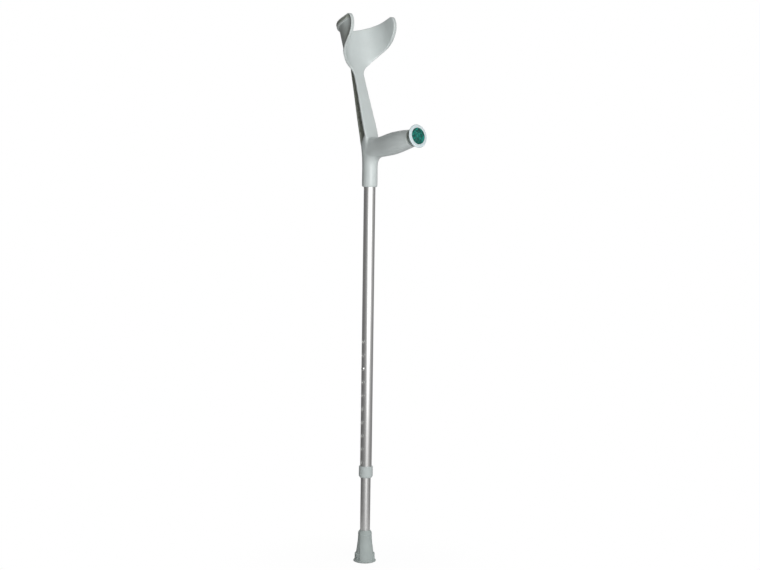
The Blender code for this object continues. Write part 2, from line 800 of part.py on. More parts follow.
def build_ribs(cutters):
    """Cross ribs on the web, as wide as the plate's inner edges in front and the bead at the back."""
    mesh = bmesh.new()
    for i in range(RIB_COUNT):
        height = RIB_FOOT + RIB_PITCH * i
        depth, bead_half = between(BEAM_STATIONS, (height - GRIP_HEIGHT) / NECK_RISE)
        front = stem_front(height) + 0.0016
        back = stem_front(height) + depth - 0.0022
        wide = stem_half(height) - 0.0060
        narrow = bead_half - 0.0016
        outline = [(-wide, front), (wide, front), (narrow, back), (-narrow, back)]
        low = [mesh.verts.new((x, y, height - LEAN * (y - front))) for x, y in outline]
        base = mesh.faces.new(low)
        pushed = bmesh.ops.extrude_face_region(mesh, geom=[base])["geom"]
        top = [piece for piece in pushed if isinstance(piece, bmesh.types.BMVert)]
        bmesh.ops.translate(mesh, verts=top, vec=(0.0, 0.0, RIB_THICKNESS))
    return object_from_bmesh("ribs", mesh, cutters)


def build_moulding(group, cutters):
    """Joins the column, grip, shell, beam and ribs into one body, then bores it."""
    column = build_column(cutters)
    body = bpy.data.objects.new("handle_moulding", column.data.copy())
    group.objects.link(body)
    bpy.data.objects.remove(column, do_unlink=True)
    for piece in (build_grip(cutters), build_shell(cutters), build_beam(cutters), build_ribs(cutters)):
        boolean(body, piece, "UNION")
        bake(body)
    bore = cylinder(
        "sleeve_bore",
        OUTER_TUBE_RADIUS + GAP,
        (0.0, 0.0, SLEEVE_BOTTOM - 0.010),
        (0.0, 0.0, OUTER_TUBE_TOP + GAP),
        cutters,
        sides=48,
    )
    boolean(body, bore, "DIFFERENCE")
    bake(body)
    frame = grip_frame()
    start = frame @ Vector((0.0, 0.0, GRIP_END - SPIGOT_LENGTH - GAP))
    end = frame @ Vector((0.0, 0.0, GRIP_END + 0.010))
    boolean(body, cylinder("spigot_bore", SPIGOT_RADIUS + GAP, start, end, cutters, sides=32), "DIFFERENCE")
    bake(body)
    rivet = cylinder(
        "rivet_drill_sleeve",
        RIVET_SHANK + GAP,
        (0.0, 0.006, RIVET_HEIGHT),
        (0.0, 0.024, RIVET_HEIGHT),
        cutters,
    )
    boolean(body, rivet, "DIFFERENCE")
    return bake(body)


# Reflector


def build_cap(group):
    """A white disc with a rounded rim round a shallow dish, a short neck and a spigot."""
    back = CAP_FACE - CAP_THICKNESS
    rim = CAP_THICKNESS / 2.0
    dish = LENS_RADIUS + GAP
    profile = [(0.0, CAP_FACE - DISH_DEPTH), (dish, CAP_FACE - DISH_DEPTH), (dish, CAP_FACE - 0.0003)]
    profile += [(dish + 0.0004, CAP_FACE + 0.0002), (dish + 0.0020, CAP_FACE + 0.0003)]
    profile += arc((CAP_RADIUS - rim, CAP_FACE - rim), rim, 75, -75, 8)
    profile += [
        (CAP_NECK + 0.0020, back),
        (CAP_NECK, back - 0.0010),
        (CAP_NECK, GRIP_END + GAP),
        (SPIGOT_RADIUS, GRIP_END + GAP),
        (SPIGOT_RADIUS, GRIP_END - SPIGOT_LENGTH + 0.0010),
        (SPIGOT_RADIUS - 0.0010, GRIP_END - SPIGOT_LENGTH),
        (0.0, GRIP_END - SPIGOT_LENGTH),
    ]
    cap = turned("reflector_cap", profile, group, steps=44)
    cap.matrix_world = grip_frame()
    return cap


def build_lens(group):
    """The domed green lens that stands a little proud of its dish."""
    seat = CAP_FACE - DISH_DEPTH + GAP
    dome = []
    for i in range(7):
        radius = (LENS_RADIUS - 0.0006) * i / 6.0
        sink = 0.0011 * (i / 6.0) ** 2
        dome.append((radius, seat + LENS_RISE - sink))
    profile = dome + [(LENS_RADIUS, seat + LENS_RISE - 0.0018), (LENS_RADIUS, seat), (0.0, seat)]
    lens = turned("reflector_lens", profile, group, steps=44)
    lens.matrix_world = grip_frame()
    return lens


def main():
    clear_scene()
    group = new_collection("forearm_crutch")
    cutters = new_collection("cutters")
    cutters.hide_render = True
    grey = (0.52, 0.56, 0.56)
    metal = (0.70, 0.70, 0.72)
    steel = (0.55, 0.55, 0.56)
    finish(build_ferrule(group, cutters), new_material("ferrule_rubber", (0.36, 0.40, 0.39), 0.75))
    finish(build_washer(group), new_material("washer_steel", steel, 0.35, 1.0))
    finish(build_inner_tube(group, cutters), new_material("inner_aluminium", metal, 0.30, 1.0))
    finish(build_guide_bush(group), new_material("bush_plastic", grey, 0.45))
    finish(build_snap_spring(group, cutters), new_material("spring_steel", steel, 0.30, 1.0))
    finish(build_snap_button(group), new_material("button_steel", steel, 0.30, 1.0))
    finish(build_outer_tube(group, cutters), new_material("outer_aluminium", metal, 0.28, 1.0))
    finish(build_collar(group), new_material("collar_plastic", grey, 0.45))
    finish(build_moulding(group, cutters), new_material("moulding_plastic", grey, 0.45))
    finish(build_rivet(group), new_material("rivet_steel", steel, 0.40, 1.0))
    finish(build_cap(group), new_material("cap_plastic", (0.80, 0.82, 0.85), 0.40))
    finish(build_lens(group), new_material("lens_plastic", (0.01, 0.22, 0.15), 0.12))


main()
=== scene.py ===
"""Dresses the forearm crutch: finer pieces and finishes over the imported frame, a plain pale
studio and the photograph's camera. All lengths are in metres, +Z up, and the grip points to -Y.
"""

import math
from functools import cached_property

import bmesh
import bpy
from bpy.props import FloatProperty, FloatVectorProperty, IntProperty, PointerProperty
from mathutils import Matrix, Vector
from mathutils.geometry import interpolate_bezier
from mathutils.kdtree import KDTree


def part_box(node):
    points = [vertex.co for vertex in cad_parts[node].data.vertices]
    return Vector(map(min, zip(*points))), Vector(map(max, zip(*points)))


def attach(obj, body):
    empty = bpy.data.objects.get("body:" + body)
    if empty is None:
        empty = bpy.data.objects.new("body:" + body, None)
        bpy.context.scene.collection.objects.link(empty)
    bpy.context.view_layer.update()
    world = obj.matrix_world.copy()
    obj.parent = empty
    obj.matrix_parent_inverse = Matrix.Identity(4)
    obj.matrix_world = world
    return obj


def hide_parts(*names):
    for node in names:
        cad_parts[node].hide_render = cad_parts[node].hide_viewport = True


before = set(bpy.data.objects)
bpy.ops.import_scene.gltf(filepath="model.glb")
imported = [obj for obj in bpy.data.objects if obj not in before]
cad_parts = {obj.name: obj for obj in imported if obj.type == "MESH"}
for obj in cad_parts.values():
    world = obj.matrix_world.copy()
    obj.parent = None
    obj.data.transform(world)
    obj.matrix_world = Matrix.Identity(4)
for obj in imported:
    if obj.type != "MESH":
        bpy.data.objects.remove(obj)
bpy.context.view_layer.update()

bl_info = {
    "name": "Forearm Crutch",
    "version": (1, 0, 0),
    "blender": (4, 5, 0),
    "location": "3D View > Sidebar > Crutch",
    "description": "Builds the visible pieces, finishes and studio of a forearm crutch",
    "category": "Object",
}

# Heights and radii shared by several pieces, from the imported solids
FOOT_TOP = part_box("ferrule")[1][2]
(_, _, TUBE_FOOT), (TUBE_RADIUS, _, TUBE_TOP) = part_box("outer_tube")
(_, _, LEG_FOOT), (LEG_RADIUS, _, LEG_TOP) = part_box("inner_tube")
(_, _, COLLAR_FOOT), (COLLAR_RADIUS, _, COLLAR_TOP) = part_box("tube_collar")
TUBE_WALL = 0.0012
GAP = 0.0003

# Adjustment holes and the snap button
HOLE_COUNT = 10
HOLE_PITCH = 0.0250
LOWEST_HOLE = 0.1868
BUTTON_HEIGHT = LOWEST_HOLE + 7.0 * HOLE_PITCH
BUTTON_PROUD = 0.0024
LEAF_FACE = 0.0068
LEAF_THICKNESS = 0.0006
LEAF_HOLE = 0.0018

# Moulding: sleeve, grip, stem and cuff
GRIP_RISE = math.radians(10.5)
GRIP_HEIGHT = 0.7662
GRIP_END = 0.1135
SLEEVE_BOTTOM = GRIP_HEIGHT - 0.0692
SLEEVE_RADIUS = 0.0141
GUSSET_RADIUS = 0.0168
GUSSET_START = GRIP_HEIGHT - 0.0310
LEAN = 0.3285
NECK_RISE = 0.1358
STEM_FOOT = GRIP_HEIGHT - 0.0022
NECK_HEIGHT = GRIP_HEIGHT + NECK_RISE
NECK_HALF = 0.0115
STEM_FOOT_HALF = 0.0159
LEAN_HEIGHT = NECK_HEIGHT + 0.0453
STEM_STEP = 0.0021  # how far the stem's front stands before the cuff's line
CUFF_RADIUS = 0.0485
SHELL = 0.0030
WING_REACH = 0.1018
WING_FRONT = NECK_HEIGHT + 0.0982
CUFF_TIP = NECK_HEIGHT + 0.1082
SPINE_TOP = NECK_HEIGHT + 0.0826

# Reflector on the grip's end
CAP_FACE = GRIP_END + 0.0158
CAP_RADIUS = 0.0212
CAP_THICKNESS = 0.0028
CAP_NECK = 0.0112
LENS_RADIUS = 0.0147
DISH_DEPTH = 0.0012
LENS_RISE = 0.0034
LENS_BORDER = 0.0006
LENS_SAG = 0.0011
SPIGOT_RADIUS = 0.0085
SPIGOT_LENGTH = 0.0120

# Foot
SOLE_RADIUS = 0.0211
SOLE_THICKNESS = 0.0046
BAND_RADIUS = 0.0186
BAND_TOP = 0.0174
CONE_FOOT_RADIUS = 0.0154
NECK_RADIUS = 0.0131
PANEL_HALF = 0.0118
PANEL_FACING = math.radians(-123.0)
SLOT_STEP = math.radians(13.0)
SLOTS_A_SIDE = 7
SOCKET_FLOOR = 0.0100

# Web, bead and cross ribs behind the stem
WEB_HALF = 0.0019
BEAD_DEPTH = 0.0034
RIB_COUNT = 8
RIB_FOOT = GRIP_HEIGHT + 0.0398
RIB_PITCH = (NECK_HEIGHT - RIB_FOOT) / RIB_COUNT
EDGE_LIP_WIDTH = 0.0030
EDGE_LIP_DEPTH = 0.0012
TOP_LIP_WIDTH = 0.0068
WING_LIP_DEPTH = 0.0041

# Rivet in the back of the sleeve
RIVET_HEIGHT = SLEEVE_BOTTOM + 0.0160
RIVET_SHANK = 0.0020
RIVET_HEAD = 0.0040
RIVET_RISE = 0.0014

RUBBER_VOXEL = 0.00042
MOULDING_VOXEL = 0.00092

# Studio: even light, light that grows in a direction, lamps, and the tent seen in gloss alone
EVEN_LIGHT = 0.038
SLOPED_LIGHT = ((0.33, 0.08, 0.0), (0.0, 0.0, 0.07))
LAMP_SIZE = (1.1, 1.3)
LAMP_DISTANCE = 2.4
TENT_RADIUS = 0.30
TENT_FRONT_GREY = 0.45
PHOTO_TURN = -42.0

# Camera: its place, its turn, rise and tilt in degrees, and its focal length in millimetres
CAMERA_PLACE = (-2.0743, -2.3038, 0.73)
CAMERA_TURN = (-42.397, 3.933, 0.812)
CAMERA_LENS = 79.83


# Meshes


def new_object(name, data):
    item = bpy.data.objects.new(name, data)
    bpy.context.scene.collection.objects.link(item)
    return item


def object_from_bmesh(name, mesh, outward=True):
    if outward:
        bmesh.ops.recalc_face_normals(mesh, faces=mesh.faces)
    data = bpy.data.meshes.new(name)
    mesh.to_mesh(data)
    mesh.free()
    return new_object(name, data)


def bake(item):
    """Turns an object with modifiers into the plain mesh that they give."""
    bpy.context.view_layer.update()
    depsgraph = bpy.context.evaluated_depsgraph_get()
    data = bpy.data.meshes.new_from_object(item.evaluated_get(depsgraph))
    item.modifiers.clear()
    item.data = data
    return item


def cut(item, other):
    """Cuts one closed mesh out of another and removes it."""
    step = item.modifiers.new("Cut", "BOOLEAN")
    step.operation = "DIFFERENCE"
    step.solver = "EXACT"
    step.object = other
    bake(item)
    bpy.data.objects.remove(other, do_unlink=True)


def join(name, items):
    """Several meshes as one, without welding."""
    mesh = bmesh.new()
    for item in items:
        mesh.from_mesh(item.data)
        bpy.data.objects.remove(item, do_unlink=True)
    return object_from_bmesh(name, mesh, False)


def finish(item, material, angle=35.0):
    """One material and smooth shading that keeps edges sharper than the angle."""
    item.data.materials.clear()
    item.data.materials.append(material)
    for face in item.data.polygons:
        face.material_index = 0
    item.data.shade_smooth()
    item.data.set_sharp_from_angle(angle=math.radians(angle))
    return item


def turned(name, profile, steps):
    """A profile of (radius, height) spun about Z. One that starts off the axis closes on itself."""
    data = bpy.data.meshes.new(name)
    points = [(radius, 0.0, height) for radius, height in profile]
    edges = [(i, i + 1) for i in range(len(points) - 1)]
    if profile[0][0] > 1e-5:
        edges.append((len(points) - 1, 0))
    data.from_pydata(points, edges, [])
    item = new_object(name, data)
    screw = item.modifiers.new("Screw", "SCREW")
    screw.steps = screw.render_steps = steps
    screw.use_merge_vertices = True
    screw.merge_threshold = 0.000005
    bake(item)
    mesh = bmesh.new()
    mesh.from_mesh(item.data)
    bmesh.ops.recalc_face_normals(mesh, faces=mesh.faces)
    mesh.to_mesh(item.data)
    mesh.free()
    return item


def arc(centre, radius, start, end, steps):
    """Points on an arc in the (radius, height) plane, angles in degrees."""
    turn = [math.radians(start + (end - start) * i / steps) for i in range(steps + 1)]
    return [(centre[0] + radius * math.cos(a), centre[1] + radius * math.sin(a)) for a in turn]


def dome(radius, base, rise, steps):
    """Points down a quarter of an ellipse in the (radius, height) plane, from its top."""
    return [(radius * x, base + rise * y) for x, y in arc((0.0, 0.0), 1.0, 90, 0, steps)]


def rod(radius, start, end, sides=48):
    """A closed cylinder between two points."""
    mesh = bmesh.new()
    axis = Vector(end) - Vector(start)
    turn = axis.to_track_quat("Z", "Y").to_matrix().to_4x4()
    size = {"radius1": radius, "radius2": radius, "depth": axis.length}
    place = Matrix.Translation((Vector(start) + Vector(end)) / 2.0) @ turn
    bmesh.ops.create_cone(mesh, cap_ends=True, segments=sides, matrix=place, **size)
    return object_from_bmesh("rod", mesh)


def band(mesh, low, high):
    """Four-sided faces between two closed loops of vertices."""
    count = len(low)
    pairs = [(i, (i + 1) % count) for i in range(count)]
    return [mesh.faces.new((low[i], low[j], high[j], high[i])) for i, j in pairs]


def loft(name, rings):
    """Joins rings of equal point counts into one closed body with flat ends."""
    mesh = bmesh.new()
    loops = [[mesh.verts.new(point) for point in ring] for ring in rings]
    for low, high in zip(loops, loops[1:]):
        band(mesh, low, high)
    mesh.faces.new(list(reversed(loops[0])))
    mesh.faces.new(loops[-1])
    return object_from_bmesh(name, mesh)


def round_normals(item):
    """Points the normals of a tube's walls straight out from Z, so that holes leave no dents."""
    mesh = item.data
    normals = [Vector((0.0, 0.0, 1.0))] * len(mesh.loops)
    for face in mesh.polygons:
        for k in face.loop_indices:
            place = mesh.vertices[mesh.loops[k].vertex_index].co
            out = Vector((place.x, place.y, 0.0)).normalized()
            facing = face.normal.dot(out)
            if abs(facing) > 0.97:
                normals[k] = out * math.copysign(1.0, facing)
            else:
                normals[k] = face.normal.copy()
    mesh.shade_smooth()
    mesh.normals_split_custom_set(normals)
    return item


def smooth(value, start, end):
    """Goes from 0 at start to 1 at end, flat at both."""
    t = min(max((value - start) / (end - start), 0.0), 1.0)
    return t * t * (3.0 - 2.0 * t)


def between(stations, place):
    """Reads a list of (place, values...) stations with smooth curves between them."""
    last = len(stations) - 1
    k = max(i for i in range(last) if i == 0 or stations[i][0] <= place)
    low, high = stations[k], stations[k + 1]
    before = stations[max(k - 1, 0)]
    after = stations[min(k + 2, last)]
    span = high[0] - low[0]
    t = min(max((place - low[0]) / span, 0.0), 1.0)
    found = []
    for a, b, c, d in zip(before[1:], low[1:], high[1:], after[1:]):
        rise_in = (c - a) / (high[0] - before[0]) * span
        rise_out = (d - b) / (after[0] - low[0]) * span
        value = (2 * t**3 - 3 * t**2 + 1) * b + (t**3 - 2 * t**2 + t) * rise_in
        found.append(value + (-2 * t**3 + 3 * t**2) * c + (t**3 - t**2) * rise_out)
    return found


def superellipse(half_x, half_y, power, count):
    points = []
    for i in range(count):
        turn = 2.0 * math.pi * i / count
        c, s = math.cos(turn), math.sin(turn)
        x = math.copysign(abs(c) ** (2.0 / power), c) * half_x
        y = math.copysign(abs(s) ** (2.0 / power), s) * half_y
        points.append((x, y))
    return points


def remesh(item, size):
    """Fuses a closed body and all that overlaps in it into one even skin."""
    step = item.modifiers.new("Fuse", "REMESH")
    step.mode = "VOXEL"
    step.voxel_size = size
    step.use_smooth_shade = True
    bake(item)


def relax(item, rounds, weight=None):
    """Rounds edges and corners, fully or as far as a weight of each vertex's place says."""
    step = item.modifiers.new("Relax", "SMOOTH")
    step.factor = 0.5
    step.iterations = rounds
    if weight:
        group = item.vertex_groups.new(name="relax")
        for vertex in item.data.vertices:
            amount = weight(vertex.co)
            if amount > 0.001:
                group.add([vertex.index], amount, "REPLACE")
        step.vertex_group = group.name
    bake(item)
    item.vertex_groups.clear()


# Node trees


class Output:
    """One output of a node. Arithmetic on it adds math nodes to its tree."""

    def __init__(self, kit, node, socket=0):
        self.kit = kit
        self.node = node
        self.socket = node.outputs[socket]

    def of(self, socket):
        """Another output of the same node."""
        return Output(self.kit, self.node, socket)

    def __add__(self, other):
        return self.kit.math("ADD", self, other)

    def __sub__(self, other):
        return self.kit.math("SUBTRACT", self, other)

    def __rsub__(self, other):
        return self.kit.math("SUBTRACT", other, self)

    def __mul__(self, other):
        return self.kit.math("MULTIPLY", self, other)

    def __truediv__(self, other):
        return self.kit.math("DIVIDE", self, other)


class Nodes:
    """Adds nodes to a tree, each with its settings and what its inputs read."""

    def __init__(self, tree):
        self.tree = tree

    def put(self, socket, value):
        """Links an output to an input, or gives the input a constant."""
        if isinstance(value, Output):
            self.tree.links.new(value.socket, socket)
        else:
            socket.default_value = value

    def add(self, kind, values=(), output=0, **settings):
        node = self.tree.nodes.new(kind)
        for key, value in settings.items():
            setattr(node, key, value)
        for socket, value in dict(values).items():
            self.put(node.inputs[socket], value)
        return Output(self, node, output) if node.outputs else node

    def math(self, operation, *values):
        return self.add("ShaderNodeMath", dict(enumerate(values)), operation=operation)

    def spread(self, value, low, high, bottom=0.0, top=1.0):
        """Maps low..high of a value to bottom..top, held at both."""
        ends = {"From Min": low, "From Max": high, "To Min": bottom, "To Max": top}
        return self.add("ShaderNodeMapRange", {"Value": value, **ends})

    def vector(self, x=0.0, y=0.0, z=0.0):
        return self.add("ShaderNodeCombineXYZ", {0: x, 1: y, 2: z})

    def split(self, vector):
        parts = self.add("ShaderNodeSeparateXYZ", {0: vector})
        return parts, parts.of(1), parts.of(2)


class Pattern(Nodes):
    """A Geometry Nodes tree that ends in Realize Instances and Set Material, run on one object."""

    def __init__(self, name, values):
        super().__init__(bpy.data.node_groups.new(name, "GeometryNodeTree"))
        face = self.tree.interface
        face.new_socket("Geometry", in_out="OUTPUT", socket_type="NodeSocketGeometry")
        self.values = {}
        for label, value in values.items():
            kind = "NodeSocketInt" if isinstance(value, int) else "NodeSocketFloat"
            socket = face.new_socket(label, in_out="INPUT", socket_type=kind)
            self.values[socket.identifier] = value
        source = self.tree.nodes.new("NodeGroupInput")
        self.inputs = [Output(self, source, label) for label in values]

    def position(self):
        return self.split(self.add("GeometryNodeInputPosition"))

    def index(self):
        return self.add("GeometryNodeInputIndex")

    def row(self, count, start=0.0, step=0.0):
        """Points up the Z axis, from a start on at even steps."""
        ends = {"Start Location": self.vector(z=start), "Offset": self.vector(z=step)}
        return self.add("GeometryNodeMeshLine", {"Count": count, **ends})

    def circle(self, points, radius):
        return self.add("GeometryNodeCurvePrimitiveCircle", {"Resolution": points, "Radius": radius})

    def set_place(self, geometry, **place):
        """Gives every point a new Position or moves it by an Offset."""
        return self.add("GeometryNodeSetPosition", {"Geometry": geometry, **place})

    def turn(self, geometry, angles):
        return self.add("GeometryNodeTransform", {"Geometry": geometry, "Rotation": angles})

    def copies(self, points, piece, **more):
        """A copy of a piece on each point, with its Rotation or Scale."""
        return self.add("GeometryNodeInstanceOnPoints", {"Points": points, "Instance": piece, **more})

    def real(self, geometry):
        return self.add("GeometryNodeRealizeInstances", {0: geometry})

    def sweep(self, path, profile):
        return self.add("GeometryNodeCurveToMesh", {"Curve": path, "Profile Curve": profile})

    def run(self, name, last, material):
        """Runs the tree and returns its result as a plain mesh object."""
        paint = self.add("GeometryNodeSetMaterial", {0: self.real(last), "Material": material})
        self.add("NodeGroupOutput", {0: paint})
        item = new_object(name, bpy.data.meshes.new(name))
        step = item.modifiers.new("Pattern", "NODES")
        step.node_group = self.tree
        for identifier, value in self.values.items():
            step[identifier] = value
        bake(item)
        if not item.data.polygons:
            raise RuntimeError(name + " came out empty")
        return item


# Finishes


def srgb(red, green, blue):
    """A colour written as 0 to 255 display values, in linear light."""
    values = [value / 255.0 for value in (red, green, blue)]
    return tuple(v / 12.92 if v <= 0.04045 else ((v + 0.055) / 1.055) ** 2.4 for v in values)


def tinted(colour, factor):
    """The same colour, lighter or darker."""
    return tuple(min(channel * factor, 1.0) for channel in colour[:3])


class Finish(Nodes):
    """A material whose grain and colour follow Object coordinates."""

    def __init__(self, name, constants):
        self.material = bpy.data.materials.new(name)
        self.material.use_nodes = True
        super().__init__(self.material.node_tree)
        self.shader = self.tree.nodes["Principled BSDF"]
        for label, value in constants.items():
            self.shader.inputs[label].default_value = value

    @cached_property
    def place(self):
        return self.add("ShaderNodeTexCoord", output="Object")

    def stretched(self, scale=(1.0, 1.0, 1.0), shift=(0.0, 0.0, 0.0)):
        values = {"Vector": self.place, "Scale": scale, "Location": shift}
        return self.add("ShaderNodeMapping", values)

    def noise(self, scale, detail=2.0, place=None, roughness=0.5):
        values = {"Scale": scale, "Detail": detail, "Roughness": roughness}
        return self.add("ShaderNodeTexNoise", {"Vector": place or self.place, **values})

    def patches(self, scale, detail, low, high, place=None):
        """Noise spread to 0 at the low value and 1 at the high one."""
        return self.spread(self.noise(scale, detail, place), low, high)

    def toned(self, share, colour, dark, light):
        return self.mixed(share, tinted(colour, dark), tinted(colour, light))

    def cells(self, scale, output):
        return self.add("ShaderNodeTexVoronoi", {"Vector": self.place, "Scale": scale}, output)

    def attribute(self, name):
        return self.add("ShaderNodeAttribute", output="Fac", attribute_name=name)

    def mixed(self, share, first, second):
        """One colour where the share is 0, another where it is 1."""
        first, second = (v if isinstance(v, Output) else (*v[:3], 1.0) for v in (first, second))
        return self.add("ShaderNodeMix", {0: share, 6: first, 7: second}, 2, data_type="RGBA")

    def bump(self, height, depth, strength, below=None):
        values = {"Height": height, "Distance": depth, "Strength": strength}
        if below:
            values["Normal"] = below
        return self.add("ShaderNodeBump", values)

    def give(self, label, value):
        self.put(self.shader.inputs[label], value)

    def surface(self, shader):
        """Shows another shader in place of the first one."""
        self.put(self.tree.nodes["Material Output"].inputs["Surface"], shader)


def moulded_plastic(name, colour, seed, gloss=0.36):
    """Injection-moulded plastic: a spark-eroded grain, faint flow clouds, dust, and painted shade where
    a point attribute asks for it.
    """
    kit = Finish(name, {"Specular IOR Level": 0.45, "IOR": 1.49})
    moved = kit.stretched(shift=(seed, seed * 0.7, 0.0))
    toned = kit.toned(kit.patches(26.0, 3.0, 0.35, 0.65, moved), colour, 0.965, 1.03)
    dust = kit.patches(420.0, 3.0, 0.60, 0.78, moved)
    dusty = kit.mixed(dust * 0.35, toned, tinted(colour, 0.80))
    # Painted shade: the base colour darkens towards a dim olive as far as the point attribute says.
    painted_shade_colour = (0.44 * colour[0], 0.44 * colour[1], 0.38 * colour[2])
    kit.give("Base Color", kit.mixed(kit.attribute("painted_shade"), dusty, painted_shade_colour))
    wipes = kit.noise(90.0, 3.0, moved)
    kit.give("Roughness", kit.spread(wipes, 0.3, 0.7, gloss - 0.06, gloss + 0.06))
    grain = kit.bump(kit.noise(1500.0, 2.0, moved), 0.00006, 0.45)
    kit.give("Normal", kit.bump(kit.noise(45.0, 2.0, moved), 0.0005, 0.12, grain))
    return kit.material


def drawn_aluminium(name, colour, seed, gloss=0.27):
    """Drawn and satin-anodised tube: fine lines along its length, faint bands and light rub marks."""
    kit = Finish(name, {"Metallic": 1.0})
    lines = kit.noise(1.0, 4.0, kit.stretched((1700.0, 1700.0, 9.0), (seed, 0.0, 0.0)), 0.7)
    bands = kit.noise(1.0, 2.0, kit.stretched((260.0, 260.0, 3.0), (0.0, seed, 0.0)))
    rubs = kit.patches(1.0, 2.0, 0.66, 0.74, kit.stretched((60.0, 60.0, 260.0)))
    toned = kit.toned(kit.spread(lines, 0.3, 0.7), colour, 0.93, 1.04)
    kit.give("Base Color", kit.mixed(rubs * 0.18, toned, tinted(colour, 0.84)))
    kit.give("Roughness", kit.spread(lines + bands, 0.7, 1.3, gloss - 0.05, gloss + 0.07))
    kit.give("Normal", kit.bump(lines, 0.00002, 0.5))
    return kit.material


def worn_steel(name, colour, seed, gloss):
    """Plated steel with a fine turned grain and a few dull spots."""
    kit = Finish(name, {"Metallic": 1.0})
    moved = kit.stretched(shift=(seed, 0.0, seed))
    spots = kit.patches(700.0, 3.0, 0.58, 0.72, moved)
    toned = kit.toned(kit.patches(160.0, 2.0, 0.3, 0.7, moved), colour, 0.94, 1.04)
    kit.give("Base Color", kit.mixed(spots * 0.4, toned, tinted(colour, 0.70)))
    grain = kit.noise(900.0, 2.0, moved)
    kit.give("Roughness", kit.spread(grain, 0.3, 0.7, gloss - 0.08, gloss + 0.10))
    kit.give("Normal", kit.bump(kit.noise(2600.0, 2.0, moved), 0.00001, 0.6))
    return kit.material


def matt_rubber(name, colour):
    """Moulded rubber: a dry, slightly mottled skin with pores and scuffs near the floor."""
    kit = Finish(name, {"Specular IOR Level": 0.30, "IOR": 1.52})
    low = kit.spread(kit.split(kit.place)[2], 0.0, 0.011, 1.0, 0.0)
    scuffs = kit.patches(1.0, 4.0, 0.52, 0.66, kit.stretched((900.0, 900.0, 260.0)))
    toned = kit.toned(kit.patches(60.0, 4.0, 0.35, 0.65), colour, 0.95, 1.04)
    kit.give("Base Color", kit.mixed(low * scuffs * 0.5, toned, tinted(colour, 0.66)))
    kit.give("Roughness", kit.spread(kit.noise(240.0, 3.0), 0.3, 0.7, 0.58, 0.72))
    fine = kit.bump(kit.cells(1500.0, "Distance"), 0.00004, 0.5)
    kit.give("Normal", kit.bump(kit.noise(700.0, 3.0), 0.00008, 0.5, fine))
    return kit.material


def prismatic_green(name, colour):
    """Clear-coated green plastic whose cells get a painted glint one by one, and a roughness of their
    own.
    """
    coat = {"Coat Weight": 0.2, "Coat Roughness": 0.03}
    kit = Finish(name, {**coat, "IOR": 1.49, "Specular IOR Level": 0.2})
    cell = kit.add("ShaderNodeSeparateColor", {0: kit.cells(420.0, "Color")})
    painted_glint = kit.spread(cell, 0.35, 1.0)
    cloud = kit.patches(240.0, 3.0, 0.42, 0.62)
    dark = kit.mixed(cloud, tinted(colour, 0.45), colour)
    # Painted glint: random cells get a lighter base colour, as if they caught the light.
    kit.give("Base Color", kit.mixed(painted_glint * cloud, dark, tinted(colour, 2.1)))
    kit.give("Roughness", kit.spread(cell.of(1), 0.0, 1.0, 0.12, 0.42))
    kit.give("Normal", kit.bump(kit.noise(900.0, 2.0), 0.00006, 0.4))
    return kit.material


# Foot


def ferrule_ring(height, side, panel, half_panel):
    """A round section whose front and back panels stand out from its sides."""
    half = min(half_panel, 0.85 * side)
    ring = []
    for facing in (PANEL_FACING, PANEL_FACING + math.pi):
        edge = math.asin(half / panel)
        turns = [(panel, facing + edge * (i / 16.0 - 1.0)) for i in range(33)]
        edge = math.asin(half / side)
        turns += [(side, facing + edge + (math.pi - 2.0 * edge) * i / 40.0) for i in range(41)]
        ring += [Vector((radius * math.cos(a), radius * math.sin(a), height)) for radius, a in turns]
    return ring


def ferrule_stations(groove):
    """Down the foot: height, radius of the sides, how far the panels stand out."""
    neck = NECK_RADIUS - 0.0003
    rim = LEG_RADIUS + GAP + 0.0007
    stations = [(FOOT_TOP, rim, 0.0002), (FOOT_TOP - 0.0034, neck - 0.0004, 0.0005)]
    stations.append((FOOT_TOP - 0.0044, neck, 0.0006))
    for drop in (0.0048, 0.0086):
        for step, depth in ((0.0, 0.0), (0.0003, groove), (0.0010, groove), (0.0013, 0.0)):
            stations.append((FOOT_TOP - drop - step, neck - depth, 0.0006))
    stations += [
        (FOOT_TOP - 0.0155, neck + 0.0002, 0.0007),
        (FOOT_TOP - 0.0215, neck + 0.0007, 0.0012),
        (BAND_TOP + 0.0100, CONE_FOOT_RADIUS - 0.0005, 0.0024),
        (BAND_TOP, CONE_FOOT_RADIUS + 0.0008, 0.0028),
        (BAND_TOP - 0.0003, BAND_RADIUS - 0.0005, 0.0006),
        (BAND_TOP - 0.0010, BAND_RADIUS, 0.0004),
        (SOLE_THICKNESS + 0.0006, BAND_RADIUS + 0.0002, 0.0016),
        (SOLE_THICKNESS, SOLE_RADIUS - 0.0010, 0.0002),
    ]
    for radius, height in arc((SOLE_RADIUS - 0.0016, 0.0026), 0.0016, 40, -60, 7):
        stations.append((height, radius, 0.0001))
    stations.append((0.0, SOLE_RADIUS - 0.0036, 0.0001))
    return stations


def slot_pattern(material, sizes):
    """Upright blocks in a fan on both sides of the foot, which cut its slots."""
    height = BAND_TOP - SOLE_THICKNESS + 0.0030
    values = {"Slots a side": SLOTS_A_SIDE, "Step": SLOT_STEP, "Width": sizes.slot_width}
    values |= {"Depth": 2.0 * sizes.slot_depth, "Height": height, "Radius": BAND_RADIUS + 0.0002}
    kit = Pattern("slot_fan", values)
    count, step, width, depth, tall, radius = kit.inputs
    index = kit.index()
    side = kit.math("FLOOR", index / count)
    turn = (index - side * count - (count - 1.0) * 0.5) * step
    angle = side * math.pi + (PANEL_FACING + math.pi / 2.0) + turn
    x = kit.math("COSINE", angle) * radius
    y = kit.math("SINE", angle) * radius
    spot = kit.vector(x, y, SOLE_THICKNESS + 0.0004 + height / 2.0)
    placed = kit.set_place(kit.row(count * 2.0), Position=spot)
    block = kit.add("GeometryNodeMeshCube", {"Size": kit.vector(depth, width, tall)})
    many = kit.copies(placed, block, Rotation=kit.vector(z=angle))
    return kit.run("slot_cutters", many, material)


